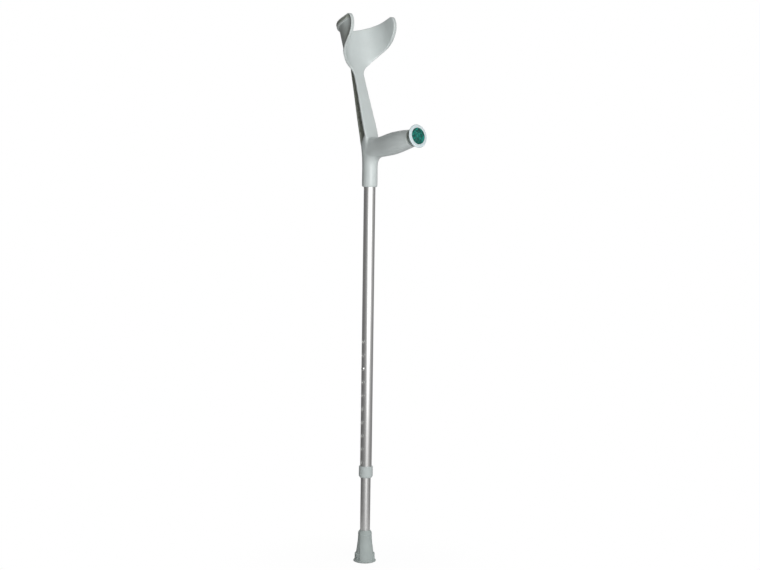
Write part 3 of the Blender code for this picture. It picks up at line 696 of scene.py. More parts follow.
def tread_pattern(material, sizes):
    """Square rings one inside another, which cut the grooves in the sole."""
    values = {"Rings": sizes.tread_rings, "First radius": 0.0048, "Pitch": 0.0032}
    kit = Pattern("tread_rings", {**values, "Width": 0.0011, "Depth": sizes.tread_depth})
    count, first, pitch, width, depth = kit.inputs
    radius = first + kit.index() * pitch
    many = kit.copies(kit.row(count), kit.circle(96, 1.0), Scale=kit.vector(radius, radius, 1.0))
    bar = kit.add("GeometryNodeCurvePrimitiveQuadrilateral", {"Width": width, "Height": depth * 2.0})
    return kit.run("tread_cutters", kit.sweep(kit.real(many), bar), material)


def build_ferrule(sizes, material):
    """One rubber skin with raised panels, slotted sides, ring grooves and a grooved sole."""
    rings = [
        ferrule_ring(height, side, side + raised, PANEL_HALF)
        for height, side, raised in ferrule_stations(sizes.neck_groove)
    ]
    body = loft("ferrule_skin", rings)
    cut(body, slot_pattern(material, sizes))
    remesh(body, RUBBER_VOXEL)
    relax(body, 3)
    cut(body, tread_pattern(material, sizes))
    cut(body, rod(LEG_RADIUS + GAP, (0.0, 0.0, SOCKET_FLOOR), (0.0, 0.0, FOOT_TOP + 0.010), 96))
    return finish(body, material, 40.0)


# Tubes


def tube(name, outer, top, bottom):
    """A tube with broken edges at both ends."""
    inner = outer - TUBE_WALL
    edge = 0.00025
    profile = []
    for radius, height, start in (
        (outer - edge, top - edge, 90),
        (outer - edge, bottom + edge, 0),
        (inner + edge, bottom + edge, 270),
        (inner + edge, top - edge, 180),
    ):
        profile += arc((radius, height), edge, start, start - 90, 3)
    return turned(name, profile, 128)


def hole_rims(material, sizes):
    """A thin burr round each hole that lies on the tube's curve."""
    values = {"Holes": HOLE_COUNT, "Pitch": HOLE_PITCH, "Lowest": LOWEST_HOLE}
    values |= {"Hole radius": sizes.hole_radius + 0.00010, "Rim": sizes.rim_radius}
    kit = Pattern("hole_rims", {**values, "Tube radius": TUBE_RADIUS - 0.00002})
    count, pitch, lowest, hole, rim, tube_radius = kit.inputs
    upright = kit.turn(kit.circle(40, hole), (0.0, math.pi / 2.0, 0.0))
    _, y, z = kit.position()
    depth = kit.math("SQRT", tube_radius * tube_radius - y * y)
    flat = kit.real(kit.copies(kit.row(count, lowest, pitch), upright))
    curved = kit.set_place(flat, Position=kit.vector(depth * -1.0, y, z))
    rims = kit.run("hole_rims", kit.sweep(curved, kit.circle(8, rim)), material)
    rims.data.shade_smooth()
    return rims


def build_outer_tube(sizes, material):
    body = tube("outer_tube_skin", TUBE_RADIUS, TUBE_TOP, TUBE_FOOT)
    rods = []
    for step in range(HOLE_COUNT):
        height = LOWEST_HOLE + HOLE_PITCH * step
        rods.append(rod(sizes.hole_radius, (-0.0157, 0.0, height), (-0.0057, 0.0, height), 40))
    cut(body, join("drills", rods))
    cut(body, rod(RIVET_SHANK + GAP, (0.0, 0.004, RIVET_HEIGHT), (0.0, 0.020, RIVET_HEIGHT)))
    return round_normals(finish(body, material))


def build_inner_tube(sizes, material):
    body = tube("inner_tube_skin", LEG_RADIUS, LEG_TOP, LEG_FOOT)
    start, end = (-0.016, 0.0, BUTTON_HEIGHT), (-0.004, 0.0, BUTTON_HEIGHT)
    cut(body, rod(sizes.hole_radius, start, end, 40))
    return round_normals(finish(body, material))


def build_collar(material):
    """The collar round the outer tube's end, with a soft top edge and a chamfered foot."""
    wide = TUBE_RADIUS + GAP
    narrow = LEG_RADIUS + GAP
    shelf = TUBE_FOOT - GAP
    outer = COLLAR_RADIUS
    edge = 0.0014
    profile = arc((wide + 0.0003, COLLAR_TOP - 0.0003), 0.0003, 180, 90, 4)
    profile += arc((outer - 0.0001 - edge, COLLAR_TOP - edge), edge, 90, 0, 12)
    chamfer = (0.0, 0.0040), (0.0001, 0.0034), (0.0006, 0.0025), (0.0019, 0.0003), (0.0023, 0.0)
    profile += [(outer - inset, COLLAR_FOOT + rise) for inset, rise in chamfer]
    profile += [(narrow, COLLAR_FOOT), (narrow, shelf), (wide, shelf)]
    return finish(turned("tube_collar_skin", profile, 112), material, 50.0)


def stand_out(item, axis, height):
    """Turns a piece that was made along Z to stand out sideways at a height."""
    turn = Matrix.Rotation(-math.pi / 2.0, 4, axis)
    item.data.transform(Matrix.Translation((0.0, 0.0, height)) @ turn)
    return item


def build_button(sizes, material):
    """A domed button with a shank through the leaf and a riveted head behind it."""
    tip = TUBE_RADIUS + BUTTON_PROUD
    shoulder = LEAF_FACE + GAP
    behind = LEAF_FACE - LEAF_THICKNESS - GAP
    shank = LEAF_HOLE - GAP
    start = TUBE_RADIUS + 0.0004
    profile = [(0.0, tip), *dome(sizes.button_radius, start, tip - start, 14)[1:]]
    profile += [(sizes.button_radius, shoulder), (shank, shoulder), (shank, behind)]
    profile += [(0.0024, behind), (0.0022, behind - 0.0008), (0.0, behind - 0.0010)]
    button = turned("snap_button_skin", profile, 64)
    return finish(stand_out(button, "Y", BUTTON_HEIGHT), material)


def build_rivet(material):
    """A domed head with a shallow set mark, on a shank through the sleeve and the tube."""
    seat = SLEEVE_RADIUS + GAP
    profile = [(0.0, seat + RIVET_RISE - 0.0003), (0.0009, seat + RIVET_RISE - 0.0003)]
    profile += dome(RIVET_HEAD, seat, RIVET_RISE, 15)[3:]
    inside = TUBE_RADIUS - TUBE_WALL - 0.0010
    profile += [(RIVET_HEAD - 0.0001, seat), (RIVET_SHANK, seat), (RIVET_SHANK, inside), (0.0, inside)]
    return finish(stand_out(turned("handle_rivet_skin", profile, 64), "X", RIVET_HEIGHT), material)


# Moulding: grip and sleeve


def grip_frame():
    """The grip's own axes: X across, Y up, Z along the grip away from the tube."""
    along = Vector((0.0, -math.cos(GRIP_RISE), math.sin(GRIP_RISE)))
    across = Vector((1.0, 0.0, 0.0))
    turn = Matrix((across, along.cross(across), along)).transposed().to_4x4()
    return Matrix.Translation((0.0, 0.0, GRIP_HEIGHT)) @ turn


# Along the grip: distance from the tube's axis, half width, half height, drop below the grip's
# axis, and the power of its section, from squarer at the root to round in the palm
GRIP_STATIONS = [
    (-0.006, 0.0153, 0.0179, -0.0021, 3.6),
    (0.010, 0.0152, 0.0187, -0.0008, 3.4),
    (0.024, 0.0155, 0.0181, 0.0012, 2.7),
    (0.036, 0.0161, 0.0187, 0.0015, 2.3),
    (0.064, 0.0178, 0.0201, 0.0012, 2.15),
    (0.090, 0.0172, 0.0185, 0.0008, 2.15),
    (GRIP_END, 0.0150, 0.0156, 0.0008, 2.15),
]


def build_grip():
    """A barrel, narrow at its root, full in the palm and rounded at its end."""
    place_in = grip_frame()
    start, end = GRIP_STATIONS[0][0], GRIP_STATIONS[-1][0]
    edge = 0.0022
    places = [start + (end - edge - start) * i / 60.0 for i in range(61)]
    rings = [(place, *between(GRIP_STATIONS, place)) for place in places]
    half_x, half_y, drop, power = between(GRIP_STATIONS, end)
    for inset, rise in arc((0.0, 0.0), edge, 0, 90, 7)[1:]:
        shrink = edge - inset
        rings.append((end - edge + rise, half_x - shrink, half_y - shrink, drop, power))
    placed = []
    for place, half_x, half_y, drop, power in rings:
        outline = superellipse(half_x, half_y, power, 96)
        placed.append([place_in @ Vector((x, y - drop, place)) for x, y in outline])
    return loft("grip", placed)


# Up the column: height over the grip's axis, half width, front edge, widest line, back edge,
# drop of the back, and the power of its front, from round at the sleeve to squarer above
COLUMN_STATIONS = [
    (-0.0342, 0.0142, -0.0142, 0.0000, 0.0142, 0.0000, 2.0),
    (-0.0162, 0.0145, -0.0142, 0.0000, 0.0150, 0.0000, 2.0),
    (-0.0042, 0.0151, -0.0138, -0.0006, 0.0168, 0.0000, 2.2),
    (0.0058, 0.0159, -0.0122, -0.0034, 0.0184, 0.0030, 3.0),
    (0.0148, 0.0163, -0.0088, -0.0040, 0.0187, 0.0090, 3.6),
    (0.0218, 0.0162, -0.0054, -0.0020, 0.0170, 0.0150, 3.6),
    (0.0268, 0.0146, -0.0016, 0.0010, 0.0144, 0.0190, 3.0),
    (0.0303, 0.0090, 0.0016, 0.0040, 0.0120, 0.0210, 2.4),
]


def gusset_reach(height):
    """How far the column reaches forward where it sweeps round into the grip's underside."""
    rise = height - GUSSET_START
    if rise <= 0.0:
        return SLEEVE_RADIUS
    rise = min(rise, GUSSET_RADIUS * 0.985)
    return SLEEVE_RADIUS + GUSSET_RADIUS - math.sqrt(GUSSET_RADIUS**2 - rise**2)


def column_ring(height, half, front, middle, back, drop, power, count=112):
    """A ring with a rounder back that can hang lower and a squarer front, widest at its middle."""
    ring = []
    round_side = superellipse(half, 1.0, 2.0, count)
    square_side = superellipse(half, 1.0, power, count)
    for i in range(count):
        behind = 0 < i < count // 2
        x, y = round_side[i] if behind else square_side[i]
        edge = back if behind else front
        place = middle + abs(y) * (edge - middle)
        share = (place - front) / (back - front)
        ring.append(Vector((x, place, height - drop * share)))
    return ring


def round_ring(height, radius):
    return column_ring(height, radius, -radius, 0.0, radius, 0.0, 2.0)


def build_column():
    """The sleeve round the tube, swept into the grip in front and domed at the stem's foot."""
    rings = []
    for i in range(8):
        turn = math.radians(90.0 * i / 7.0)
        radius = SLEEVE_RADIUS + 0.0002 - 0.0022 * (1.0 - math.sin(turn))
        rings.append(round_ring(SLEEVE_BOTTOM + 0.0034 * (1.0 - math.cos(turn)), radius))
    low = COLUMN_STATIONS[0][0]
    high = COLUMN_STATIONS[-1][0]
    rings.append(round_ring((SLEEVE_BOTTOM + GRIP_HEIGHT + low) / 2.0, SLEEVE_RADIUS + 0.0002))
    for i in range(73):
        rise = low + (high - low) * i / 72.0
        height = GRIP_HEIGHT + rise
        half, front, middle, back, drop, power = between(COLUMN_STATIONS, rise)
        sweep = smooth(rise, -0.0142, -0.0082)
        front = front * sweep - gusset_reach(height) * (1.0 - sweep)
        rings.append(column_ring(height, half, front, middle, back, drop, power))
    return loft("column", rings)


# Moulding: cuff and stem


def curve_points(knots, steps):
    """Points along joined Bezier spans. Each knot is (across, height, handle in, handle out)."""
    found = []
    for first, second in zip(knots, knots[1:]):
        start, end = Vector(first[:2]), Vector(second[:2])
        handles = start + Vector(first[3]), end + Vector(second[2])
        points = interpolate_bezier(start, handles[0], handles[1], end, steps + 1)
        found += [(p[0], p[1]) for p in points[:-1]]
    found.append(knots[-1][:2])
    return found


def half_outline():
    """The right half of the shell laid flat: up the stem, out along the wing, back to the spine."""
    none = (0.0, 0.0)
    knots = [
        (0.0, STEM_FOOT, none, (0.0080, 0.0)),
        (STEM_FOOT_HALF, STEM_FOOT + 0.0320, (0.0000, -0.0160), (-0.0001, 0.0160)),
        (NECK_HALF, NECK_HEIGHT - 0.0023, (0.0001, -0.030), (0.0, 0.0116)),
        (0.0278, NECK_HEIGHT + 0.0206, (-0.0091, -0.0069), (0.0122, 0.0102)),
        (0.0634, NECK_HEIGHT + 0.0476, (-0.0146, -0.0102), (0.0142, 0.0108)),
        (WING_REACH, WING_FRONT, (0.0000, -0.0185), (-0.0001, 0.0073)),
        (0.0947, CUFF_TIP, (0.0056, 0.0002), (-0.0194, -0.0070)),
        (0.0, SPINE_TOP, (0.0315, 0.0), none),
    ]
    return curve_points(knots, 20)


def lip_width(point):
    """The rim's band is wide along the cuff's top and narrow down its sides."""
    across, height = point
    above = smooth(height, SPINE_TOP - 0.0080, SPINE_TOP - 0.0020)
    share = above * (1.0 - smooth(abs(across), 0.0820, 0.0930))
    return EDGE_LIP_WIDTH + (TOP_LIP_WIDTH - EDGE_LIP_WIDTH) * share


def inset_outline(outline):
    """The closed outline moved inward along its own normals by the rim's width."""
    count = len(outline)
    moved = []
    for i in range(count):
        before = Vector(outline[i - 1])
        after = Vector(outline[(i + 1) % count])
        along = (after - before).normalized()
        moved.append(Vector(outline[i]) + Vector((-along[1], along[0])) * lip_width(outline[i]))
    return moved


def lean_shift(height):
    return LEAN * (height - LEAN_HEIGHT)


def bend(across, depth, height):
    """Wraps a flat point round the leaning cuff. Below the neck the shell flattens into the stem."""
    mid = CUFF_RADIUS + SHELL / 2.0
    radius = CUFF_RADIUS + depth
    quarter = mid * math.pi / 2.0
    reach = abs(across)
    side = math.copysign(1.0, across)
    if reach <= quarter:
        x = radius * math.sin(reach / mid)
        y = radius * math.cos(reach / mid)
    else:
        x = radius
        y = quarter - reach
    curl = smooth(height, NECK_HEIGHT - 0.0170, NECK_HEIGHT + 0.0330)
    x = reach + (x - reach) * curl
    y = radius + (y - radius) * curl - STEM_STEP * (1.0 - curl)
    return Vector((side * x, y + lean_shift(height), height))


def flat_shell():
    """The shell's flat sheet, with its border band, cut along the lines that it bends on."""
    right = half_outline()
    left = [(-x, z) for x, z in reversed(right[1:-1])]
    outline = right + left
    inner = inset_outline(outline)
    mesh = bmesh.new()
    border = mesh.faces.layers.int.new("border")
    outer_loop = [mesh.verts.new((x, 0.0, z)) for x, z in outline]
    inner_loop = [mesh.verts.new((x, 0.0, z)) for x, z in inner]
    for face in band(mesh, outer_loop, inner_loop):
        face[border] = 1
    mesh.faces.new(inner_loop)
    spacing = 0.0024
    cuts = int(WING_REACH / spacing)
    planes = [((i * spacing, 0.0, 0.0), (1.0, 0.0, 0.0)) for i in range(-cuts, cuts + 1)]
    for i in range(24):
        planes.append(((0.0, 0.0, NECK_HEIGHT - 0.0172 + spacing * i), (0.0, 0.0, 1.0)))
    for place, facing in planes:
        everything = mesh.verts[:] + mesh.edges[:] + mesh.faces[:]
        bmesh.ops.bisect_plane(mesh, geom=everything, dist=1e-6, plane_co=place, plane_no=facing)
    return mesh, border


def lip_depth(height):
    """The rim turns out by its full depth on the wings and fades to a low edge down the stem."""
    share = smooth(height, NECK_HEIGHT + 0.0280, NECK_HEIGHT + 0.0680)
    return EDGE_LIP_DEPTH + (WING_LIP_DEPTH - EDGE_LIP_DEPTH) * share


def build_shell():
    """The cuff and the stem's front plate: one sheet with a turned-out rim."""
    mesh, border = flat_shell()
    bmesh.ops.recalc_face_normals(mesh, faces=mesh.faces)
    flip = [face for face in mesh.faces if face.normal.y > 0.0]
    bmesh.ops.reverse_faces(mesh, faces=flip)
    pushed = bmesh.ops.extrude_face_region(mesh, geom=mesh.faces[:])["geom"]
    back_faces = [piece for piece in pushed if isinstance(piece, bmesh.types.BMFace)]
    for vert in {vert for face in back_faces for vert in face.verts}:
        vert.co.y = SHELL
    lips = [face for face in back_faces if face[border] == 1]
    raised = bmesh.ops.extrude_face_region(mesh, geom=lips)["geom"]
    for piece in raised:
        if isinstance(piece, bmesh.types.BMVert):
            piece.co.y = SHELL + lip_depth(piece.co.z)
    bmesh.ops.delete(mesh, geom=lips, context="FACES")
    for vert in mesh.verts:
        vert.co = bend(vert.co.x, vert.co.y, vert.co.z)
    return object_from_bmesh("shell", mesh)


# Moulding: web, bead and ribs behind the stem


def stem_half(height):
    """Half the stem's width, which grows from the neck down to the grip."""
    share = (NECK_HEIGHT - height) / (NECK_HEIGHT - STEM_FOOT)
    return NECK_HALF + (STEM_FOOT_HALF - NECK_HALF) * min(max(share, 0.0), 1.0)


# Up the beam: share of the way from the grip to the neck, depth behind the front face, half
# width of its back bead
BEAM_STATIONS = [
    (-0.120, 0.0302, 0.0046),
    (-0.045, 0.0311, 0.0046),
    (0.065, 0.0328, 0.0046),
    (0.138, 0.0317, 0.0045),
    (0.396, 0.0286, 0.0043),
    (0.690, 0.0243, 0.0040),
    (1.022, 0.0190, 0.0038),
    (1.206, 0.0130, 0.0036),
    (1.353, 0.0050, 0.0030),
    (1.412, 0.0022, 0.0024),
]


def stem_front(height):
    """How far back the stem's front face is on its middle line."""
    return bend(0.0, 0.0, height).y


def build_beam():
    """A web behind the front plate that ends in a rounded bead along its back."""
    rings = []
    bottom, top = BEAM_STATIONS[0][0], BEAM_STATIONS[-1][0]
    for i in range(91):
        share = bottom + (top - bottom) * i / 90.0
        height = GRIP_HEIGHT + NECK_RISE * share
        depth, half = between(BEAM_STATIONS, share)
        front = stem_front(height)
        back = front + depth
        start = front + 0.0014
        inner = max(back - BEAD_DEPTH, start + 0.0002)
        corner = min(0.0011, 0.4 * (back - inner))
        right = [
            (WEB_HALF, start),
            (WEB_HALF, inner),
            (half, inner + corner),
            (half, back - corner),
            (half - 0.0011, back),
        ]
        left = [(-x, y) for x, y in reversed(right)]
        rings.append([Vector((x, y, height)) for x, y in right + left])
    return loft("beam", rings)


def rib_pattern(material, sizes):
    """Cross ribs up the web, each from the plate's width in front to the bead's at the back."""
    values = {"Ribs": RIB_COUNT, "Foot": RIB_FOOT, "Pitch": RIB_PITCH, "Thickness": sizes.rib_thickness}
    kit = Pattern("cross_ribs", {**values, "Front": stem_front(0.0) + 0.0016, "Lean": LEAN})
    count, foot, pitch, thickness, front, lean = kit.inputs
    row = kit.row(count, foot, pitch)
    stored = {"Geometry": row, "Name": "rib_height", "Value": kit.position()[2]}
    point = {"data_type": "FLOAT", "domain": "POINT"}
    kept = kit.add("GeometryNodeStoreNamedAttribute", stored, **point)
    cube = {"Size": (1.0, 1.0, 1.0), "Vertices X": 3, "Vertices Y": 9}
    real = kit.real(kit.copies(kept, kit.add("GeometryNodeMeshCube", cube)))
    named = {"Name": "rib_height"}
    height = kit.add("GeometryNodeInputNamedAttribute", named, data_type="FLOAT")
    x, y, z = kit.position()
    share = (height - GRIP_HEIGHT) / NECK_RISE
    curve = kit.add("ShaderNodeFloatCurve", {"Factor": 1.0, "Value": share})
    points = curve.node.mapping.curves[0].points
    known = [(place, depth * 30.0) for place, depth, half in BEAM_STATIONS if 0.0 < place < 1.1]
    points[0].location = (0.0, known[0][1])
    points[1].location = (min(known[-1][0], 1.0), known[-1][1])
    for place, value in known[1:-1]:
        points.new(place, value)
    curve.node.mapping.update()
    back = y + 0.5
    wide = share * (NECK_HALF - STEM_FOOT_HALF) + STEM_FOOT_HALF - 0.0060
    half = wide + back * (0.0025 - wide)
    behind = back * (curve / 30.0 - 0.0038)
    rise = (z - height) * thickness
    shaped = kit.vector(x * 2.0 * half, front + lean * height + behind, height + rise - lean * behind)
    return kit.run("rib_blocks", kit.set_place(real, Position=shaped), material)


def junction_weight(place):
    """How near a point is to where the grip, the stem and the sleeve run into each other."""
    rise = place.z - GRIP_HEIGHT
    level = smooth(rise, -0.0260, -0.0060) * (1.0 - smooth(rise, 0.0260, 0.0420))
    return level * smooth(place.y, -0.0340, -0.0190) * (1.0 - smooth(place.y, 0.0000, 0.0080))


def recess_painted_shade(place):
    """How far a point lies in the recess behind the stem's plate, from 0 to 1, which sets the painted
    shade there.
    """
    share = (place.z - GRIP_HEIGHT) / NECK_RISE
    depth = place.y - stem_front(place.z)
    reach = between(BEAM_STATIONS, share)[0]
    solid = 1.0 - smooth(share, 0.06, 0.16)
    start = 0.0026 + 0.0170 * solid
    behind = smooth(depth, start, start + 0.0014 + 0.0090 * solid) * (1.0 - 0.40 * solid)
    behind *= 1.0 - smooth(depth, reach - 0.0012, reach - 0.0002)
    half = stem_half(place.z) + 0.0040 * solid
    inside = 1.0 - smooth(abs(place.x), half - 0.0022, half - 0.0006)
    return behind * inside * smooth(share, -0.14, 0.10) * (1.0 - smooth(share, 1.22, 1.36))


def rim_painted_shade(place, border):
    """How near a point on the outside of a wing is to the rim's inner corner, from 0 to 1: painted
    shade beside the rim and lower on the wing.
    """
    behind = place.y - lean_shift(place.z)
    reach = abs(place.x)
    mid = CUFF_RADIUS + SHELL / 2.0
    if behind > 0.0:
        across = mid * math.atan2(reach, behind)
        depth = math.hypot(reach, behind) - CUFF_RADIUS
    else:
        across = mid * math.pi / 2.0 - behind
        depth = reach - CUFF_RADIUS
    if depth < 0.5 * SHELL or across < 0.0400:
        return 0.0
    away = border.find((across, 0.0, place.z))[2]
    corner = 1.0 - smooth(away, 0.0044, 0.0084)
    low = 1.0 - smooth(place.z, WING_FRONT - 0.0260, WING_FRONT + 0.0080)
    side = smooth(across, 0.0400, 0.0560) * smooth(place.z, NECK_HEIGHT + 0.0300, NECK_HEIGHT + 0.0420)
    return side * smooth(away, 0.0010, 0.0024) * max(0.95 * corner, 0.50 * low)


def painted_shade_height(rise):
    """How strong the painted shade is at a height over the grip's axis: stronger on top than below."""
    return 0.30 + 0.70 * smooth(rise, -0.0110, 0.0010)


def grip_end_painted_shade(place):
    """How near a point on the moulding is to the grip's end, where the cap's neck stands: painted shade
    there.
    """
    seat = grip_frame().inverted() @ place
    return 0.75 * smooth(seat.z, GRIP_END - 0.0020, GRIP_END - 0.0002) * painted_shade_height(seat.y)


def mark(item, amount):
    """Keeps how much painted shade each point gets, for the plastic's material."""
    marks = item.data.attributes.new("painted_shade", "FLOAT", "POINT")
    for vertex, kept in zip(item.data.vertices, marks.data):
        kept.value = amount(vertex.co)


def painted_shade(item):
    """Marks painted shade where shade falls: in the recess, behind the rims, by the cap."""
    outline = half_outline()
    border = KDTree(len(outline))
    for i, (across, height) in enumerate(outline):
        border.insert((across, 0.0, height), i)
    border.balance()
    mark(item, lambda place: max(recess_painted_shade(place), rim_painted_shade(place, border), grip_end_painted_shade(place)))


def cap_neck_painted_shade(place):
    """How much painted shade there is on the cap's neck, before the cap is turned to the grip."""
    back = CAP_FACE - CAP_THICKNESS
    behind = 1.0 - smooth(place.z, back - 0.0002, back + 0.0004)
    radius = math.hypot(place.x, place.y)
    return behind * (1.0 - smooth(radius, CAP_NECK + 0.0030, CAP_NECK + 0.0080)) * painted_shade_height(place.y)


def build_moulding(sizes, material):
    """Fuses column, grip, shell, beam and ribs into one skin, rounds it and bores it."""
    parts = [build_column(), build_grip(), build_shell(), build_beam(), rib_pattern(material, sizes)]
    body = join("handle_moulding_skin", parts)
    remesh(body, MOULDING_VOXEL)
    relax(body, 4)
    relax(body, 20, junction_weight)
    foot = (0.0, 0.0, SLEEVE_BOTTOM - 0.010)
    cut(body, rod(TUBE_RADIUS + GAP, foot, (0.0, 0.0, TUBE_TOP + GAP), 96))
    seat = grip_frame()
    start = seat @ Vector((0.0, 0.0, GRIP_END - SPIGOT_LENGTH - GAP))
    end = seat @ Vector((0.0, 0.0, GRIP_END + 0.010))
    cut(body, rod(SPIGOT_RADIUS + GAP, start, end, 64))
    cut(body, rod(RIVET_SHANK + GAP, (0.0, 0.006, RIVET_HEIGHT), (0.0, 0.024, RIVET_HEIGHT), 40))
    # Painted shade in the recess behind the stem, behind the wing rims and at the grip's end.
    painted_shade(body)
    return finish(body, material, 48.0)


# Reflector


def build_cap(material):
    """A white disc with a rounded rim round a shallow dish, a short neck and a spigot."""
    back = CAP_FACE - CAP_THICKNESS
    rim = CAP_THICKNESS / 2.0
    dish = LENS_RADIUS + GAP
    profile = [(0.0, CAP_FACE - DISH_DEPTH), (dish, CAP_FACE - DISH_DEPTH), (dish, CAP_FACE - 0.0003)]
    profile += arc((dish + 0.0006, CAP_FACE - 0.0003), 0.0006, 180, 90, 6)
    profile += [(dish + 0.0030, CAP_FACE + 0.0003)]
    profile += arc((CAP_RADIUS - rim, CAP_FACE - rim), rim, 75, -75, 20)
    profile += [
        (CAP_NECK + 0.0024, back),
        (CAP_NECK + 0.0010, back - 0.0003),
        (CAP_NECK, back - 0.0014),
        (CAP_NECK, GRIP_END + GAP + 0.0003),
        (CAP_NECK - 0.0003, GRIP_END + GAP),
        (SPIGOT_RADIUS, GRIP_END + GAP),
        (SPIGOT_RADIUS, GRIP_END - SPIGOT_LENGTH + 0.0010),
        (SPIGOT_RADIUS - 0.0010, GRIP_END - SPIGOT_LENGTH),
        (0.0, GRIP_END - SPIGOT_LENGTH),
    ]
    cap = turned("reflector_cap_skin", profile, 144)
    # Painted shade on the cap's neck behind the disc.
    mark(cap, cap_neck_painted_shade)
    cap.data.transform(grip_frame())
    return finish(cap, material, 40.0)


def lens_height(radius):
    """The top of the lens over its seat: a low dome."""
    return LENS_RISE - LENS_BORDER - LENS_SAG * (radius / LENS_RADIUS) ** 2


def prism_pattern(material, sizes):
    """Six-sided cells over the dome, each with three leaning faces that meet at its middle."""
    values = {"Across": sizes.prism_count, "Pitch": sizes.prism_pitch, "Rise": sizes.prism_rise}
    values |= {"Field": LENS_RADIUS - 0.0016, "Seat": CAP_FACE - DISH_DEPTH + GAP}
    kit = Pattern("prism_cells", values)
    across, pitch, rise, field, seat = kit.inputs
    triangle = math.sqrt(3.0) / 2.0
    reach = (across - 1.0) * pitch
    tall = reach * triangle
    square = {"Size X": reach, "Size Y": tall, "Vertices X": across, "Vertices Y": across}
    grid = kit.add("GeometryNodeMeshGrid", square)
    row = kit.math("ROUND", (kit.position()[1] + tall * 0.5) / (pitch * triangle))
    nudge = (kit.math("MODULO", row, 2.0) - 0.5) * (pitch * 0.5)
    packed = kit.set_place(grid, Offset=kit.vector(nudge))
    x, y, _ = kit.position()
    squares = x * x + y * y
    radius = kit.math("SQRT", squares)
    outside = kit.add("FunctionNodeCompare", {0: radius, 1: field}, operation="GREATER_THAN")
    pruned = {"Geometry": packed, "Selection": outside}
    inside = kit.add("GeometryNodeDeleteGeometry", pruned, domain="POINT")
    height = (LENS_RISE - LENS_BORDER) - squares / LENS_RADIUS**2 * LENS_SAG
    raised = kit.set_place(inside, Offset=kit.vector(z=seat + height))
    cone = {"Vertices": 6, "Side Segments": 1, "Fill Segments": 1}
    cone |= {"Radius Top": 0.0, "Radius Bottom": pitch * 0.5657, "Depth": rise}
    cell = kit.add("GeometryNodeMeshCone", cone, fill_type="NGON")
    uneven = (kit.math("MODULO", kit.index(), 2.0) - 0.5) * rise
    rim = kit.math("LESS_THAN", kit.position()[2], rise * 0.5)
    cell = kit.turn(cell, (0.0, 0.0, math.pi / 6.0))
    cell = kit.set_place(cell, Offset=kit.vector(z=uneven * rim * 0.45))
    ends = {"Seed": 7, "Min": (-0.10, -0.10, 0.0), "Max": (0.10, 0.10, 0.0)}
    random = kit.add("FunctionNodeRandomValue", ends, data_type="FLOAT_VECTOR")
    return kit.run("prism_cells", kit.copies(raised, cell, Rotation=random), material)


def build_lens(sizes, material):
    """A low green dome with a smooth border and a field of prism cells."""
    seat = CAP_FACE - DISH_DEPTH + GAP
    edge = LENS_RADIUS - LENS_BORDER
    profile = [(edge * i / 16.0, seat + lens_height(edge * i / 16.0)) for i in range(13)]
    border = seat + lens_height(edge) + 0.0005
    profile += [(LENS_RADIUS - 0.0017, seat + lens_height(LENS_RADIUS - 0.0017))]
    profile += arc((LENS_RADIUS - 0.0012, border - 0.0004), 0.0004, 180, 90, 5)
    profile += arc((edge, border - LENS_BORDER), LENS_BORDER, 90, 0, 6)
    profile += [(LENS_RADIUS, seat), (0.0, seat)]
    skin = turned("dome", profile, 128)
    lens = join("reflector_lens_skin", [skin, prism_pattern(material, sizes)])
    lens.data.transform(grip_frame())
    return finish(lens, material, 12.0)


# Studio


def aim(item, place, target):
    item.location = place
    item.rotation_mode = "QUATERNION"
    item.rotation_quaternion = (Vector(target) - Vector(place)).to_track_quat("-Z", "Y")


def add_lamp(name, azimuth, height, target, power):
    """A soft rectangular lamp. Azimuth 0 is in front of the grip and 90 on the +X side."""
    data = bpy.data.lights.new(name, "AREA")
    data.shape = "RECTANGLE"
    data.size, data.size_y = LAMP_SIZE
    data.energy = power
    turn = math.radians(azimuth)
    place = (LAMP_DISTANCE * math.sin(turn), -LAMP_DISTANCE * math.cos(turn), height)
    aim(new_object(name, data), place, (0.0, 0.0, target))


def seen_directly(kit, kinds=("Camera", "Transmission")):
    """1 for the kinds of ray that take what they meet as plain white."""
    path = kit.add("ShaderNodeLightPath")
    total = path.of("Is " + kinds[0] + " Ray")
    for kind in kinds[1:]:
        total = kit.math("MAXIMUM", total, path.of("Is " + kind + " Ray"))
    return total


def build_world():
    """A white surround for the camera and for gloss, and a softer level that lights the piece.

    The soft level is even all round, plus a share for each slope that grows towards its direction.
    """
    world = bpy.data.worlds.new("studio")
    bpy.context.scene.world = world
    world.use_nodes = True
    kit = Nodes(world.node_tree)
    back = kit.tree.nodes["Background"]
    back.inputs["Color"].default_value = (1.0, 1.0, 1.0, 1.0)
    facing = kit.add("ShaderNodeTexCoord", output="Generated")
    soft = EVEN_LIGHT
    for slope in SLOPED_LIGHT:
        along = {0: facing, 1: slope}
        share = kit.add("ShaderNodeVectorMath", along, "Value", operation="DOT_PRODUCT")
        soft = kit.math("MAXIMUM", share, 0.0) + soft
    white = seen_directly(kit, ("Camera", "Glossy", "Transmission"))
    kit.put(back.inputs["Strength"], kit.spread(white, 0.0, 1.0, soft, 1.0))


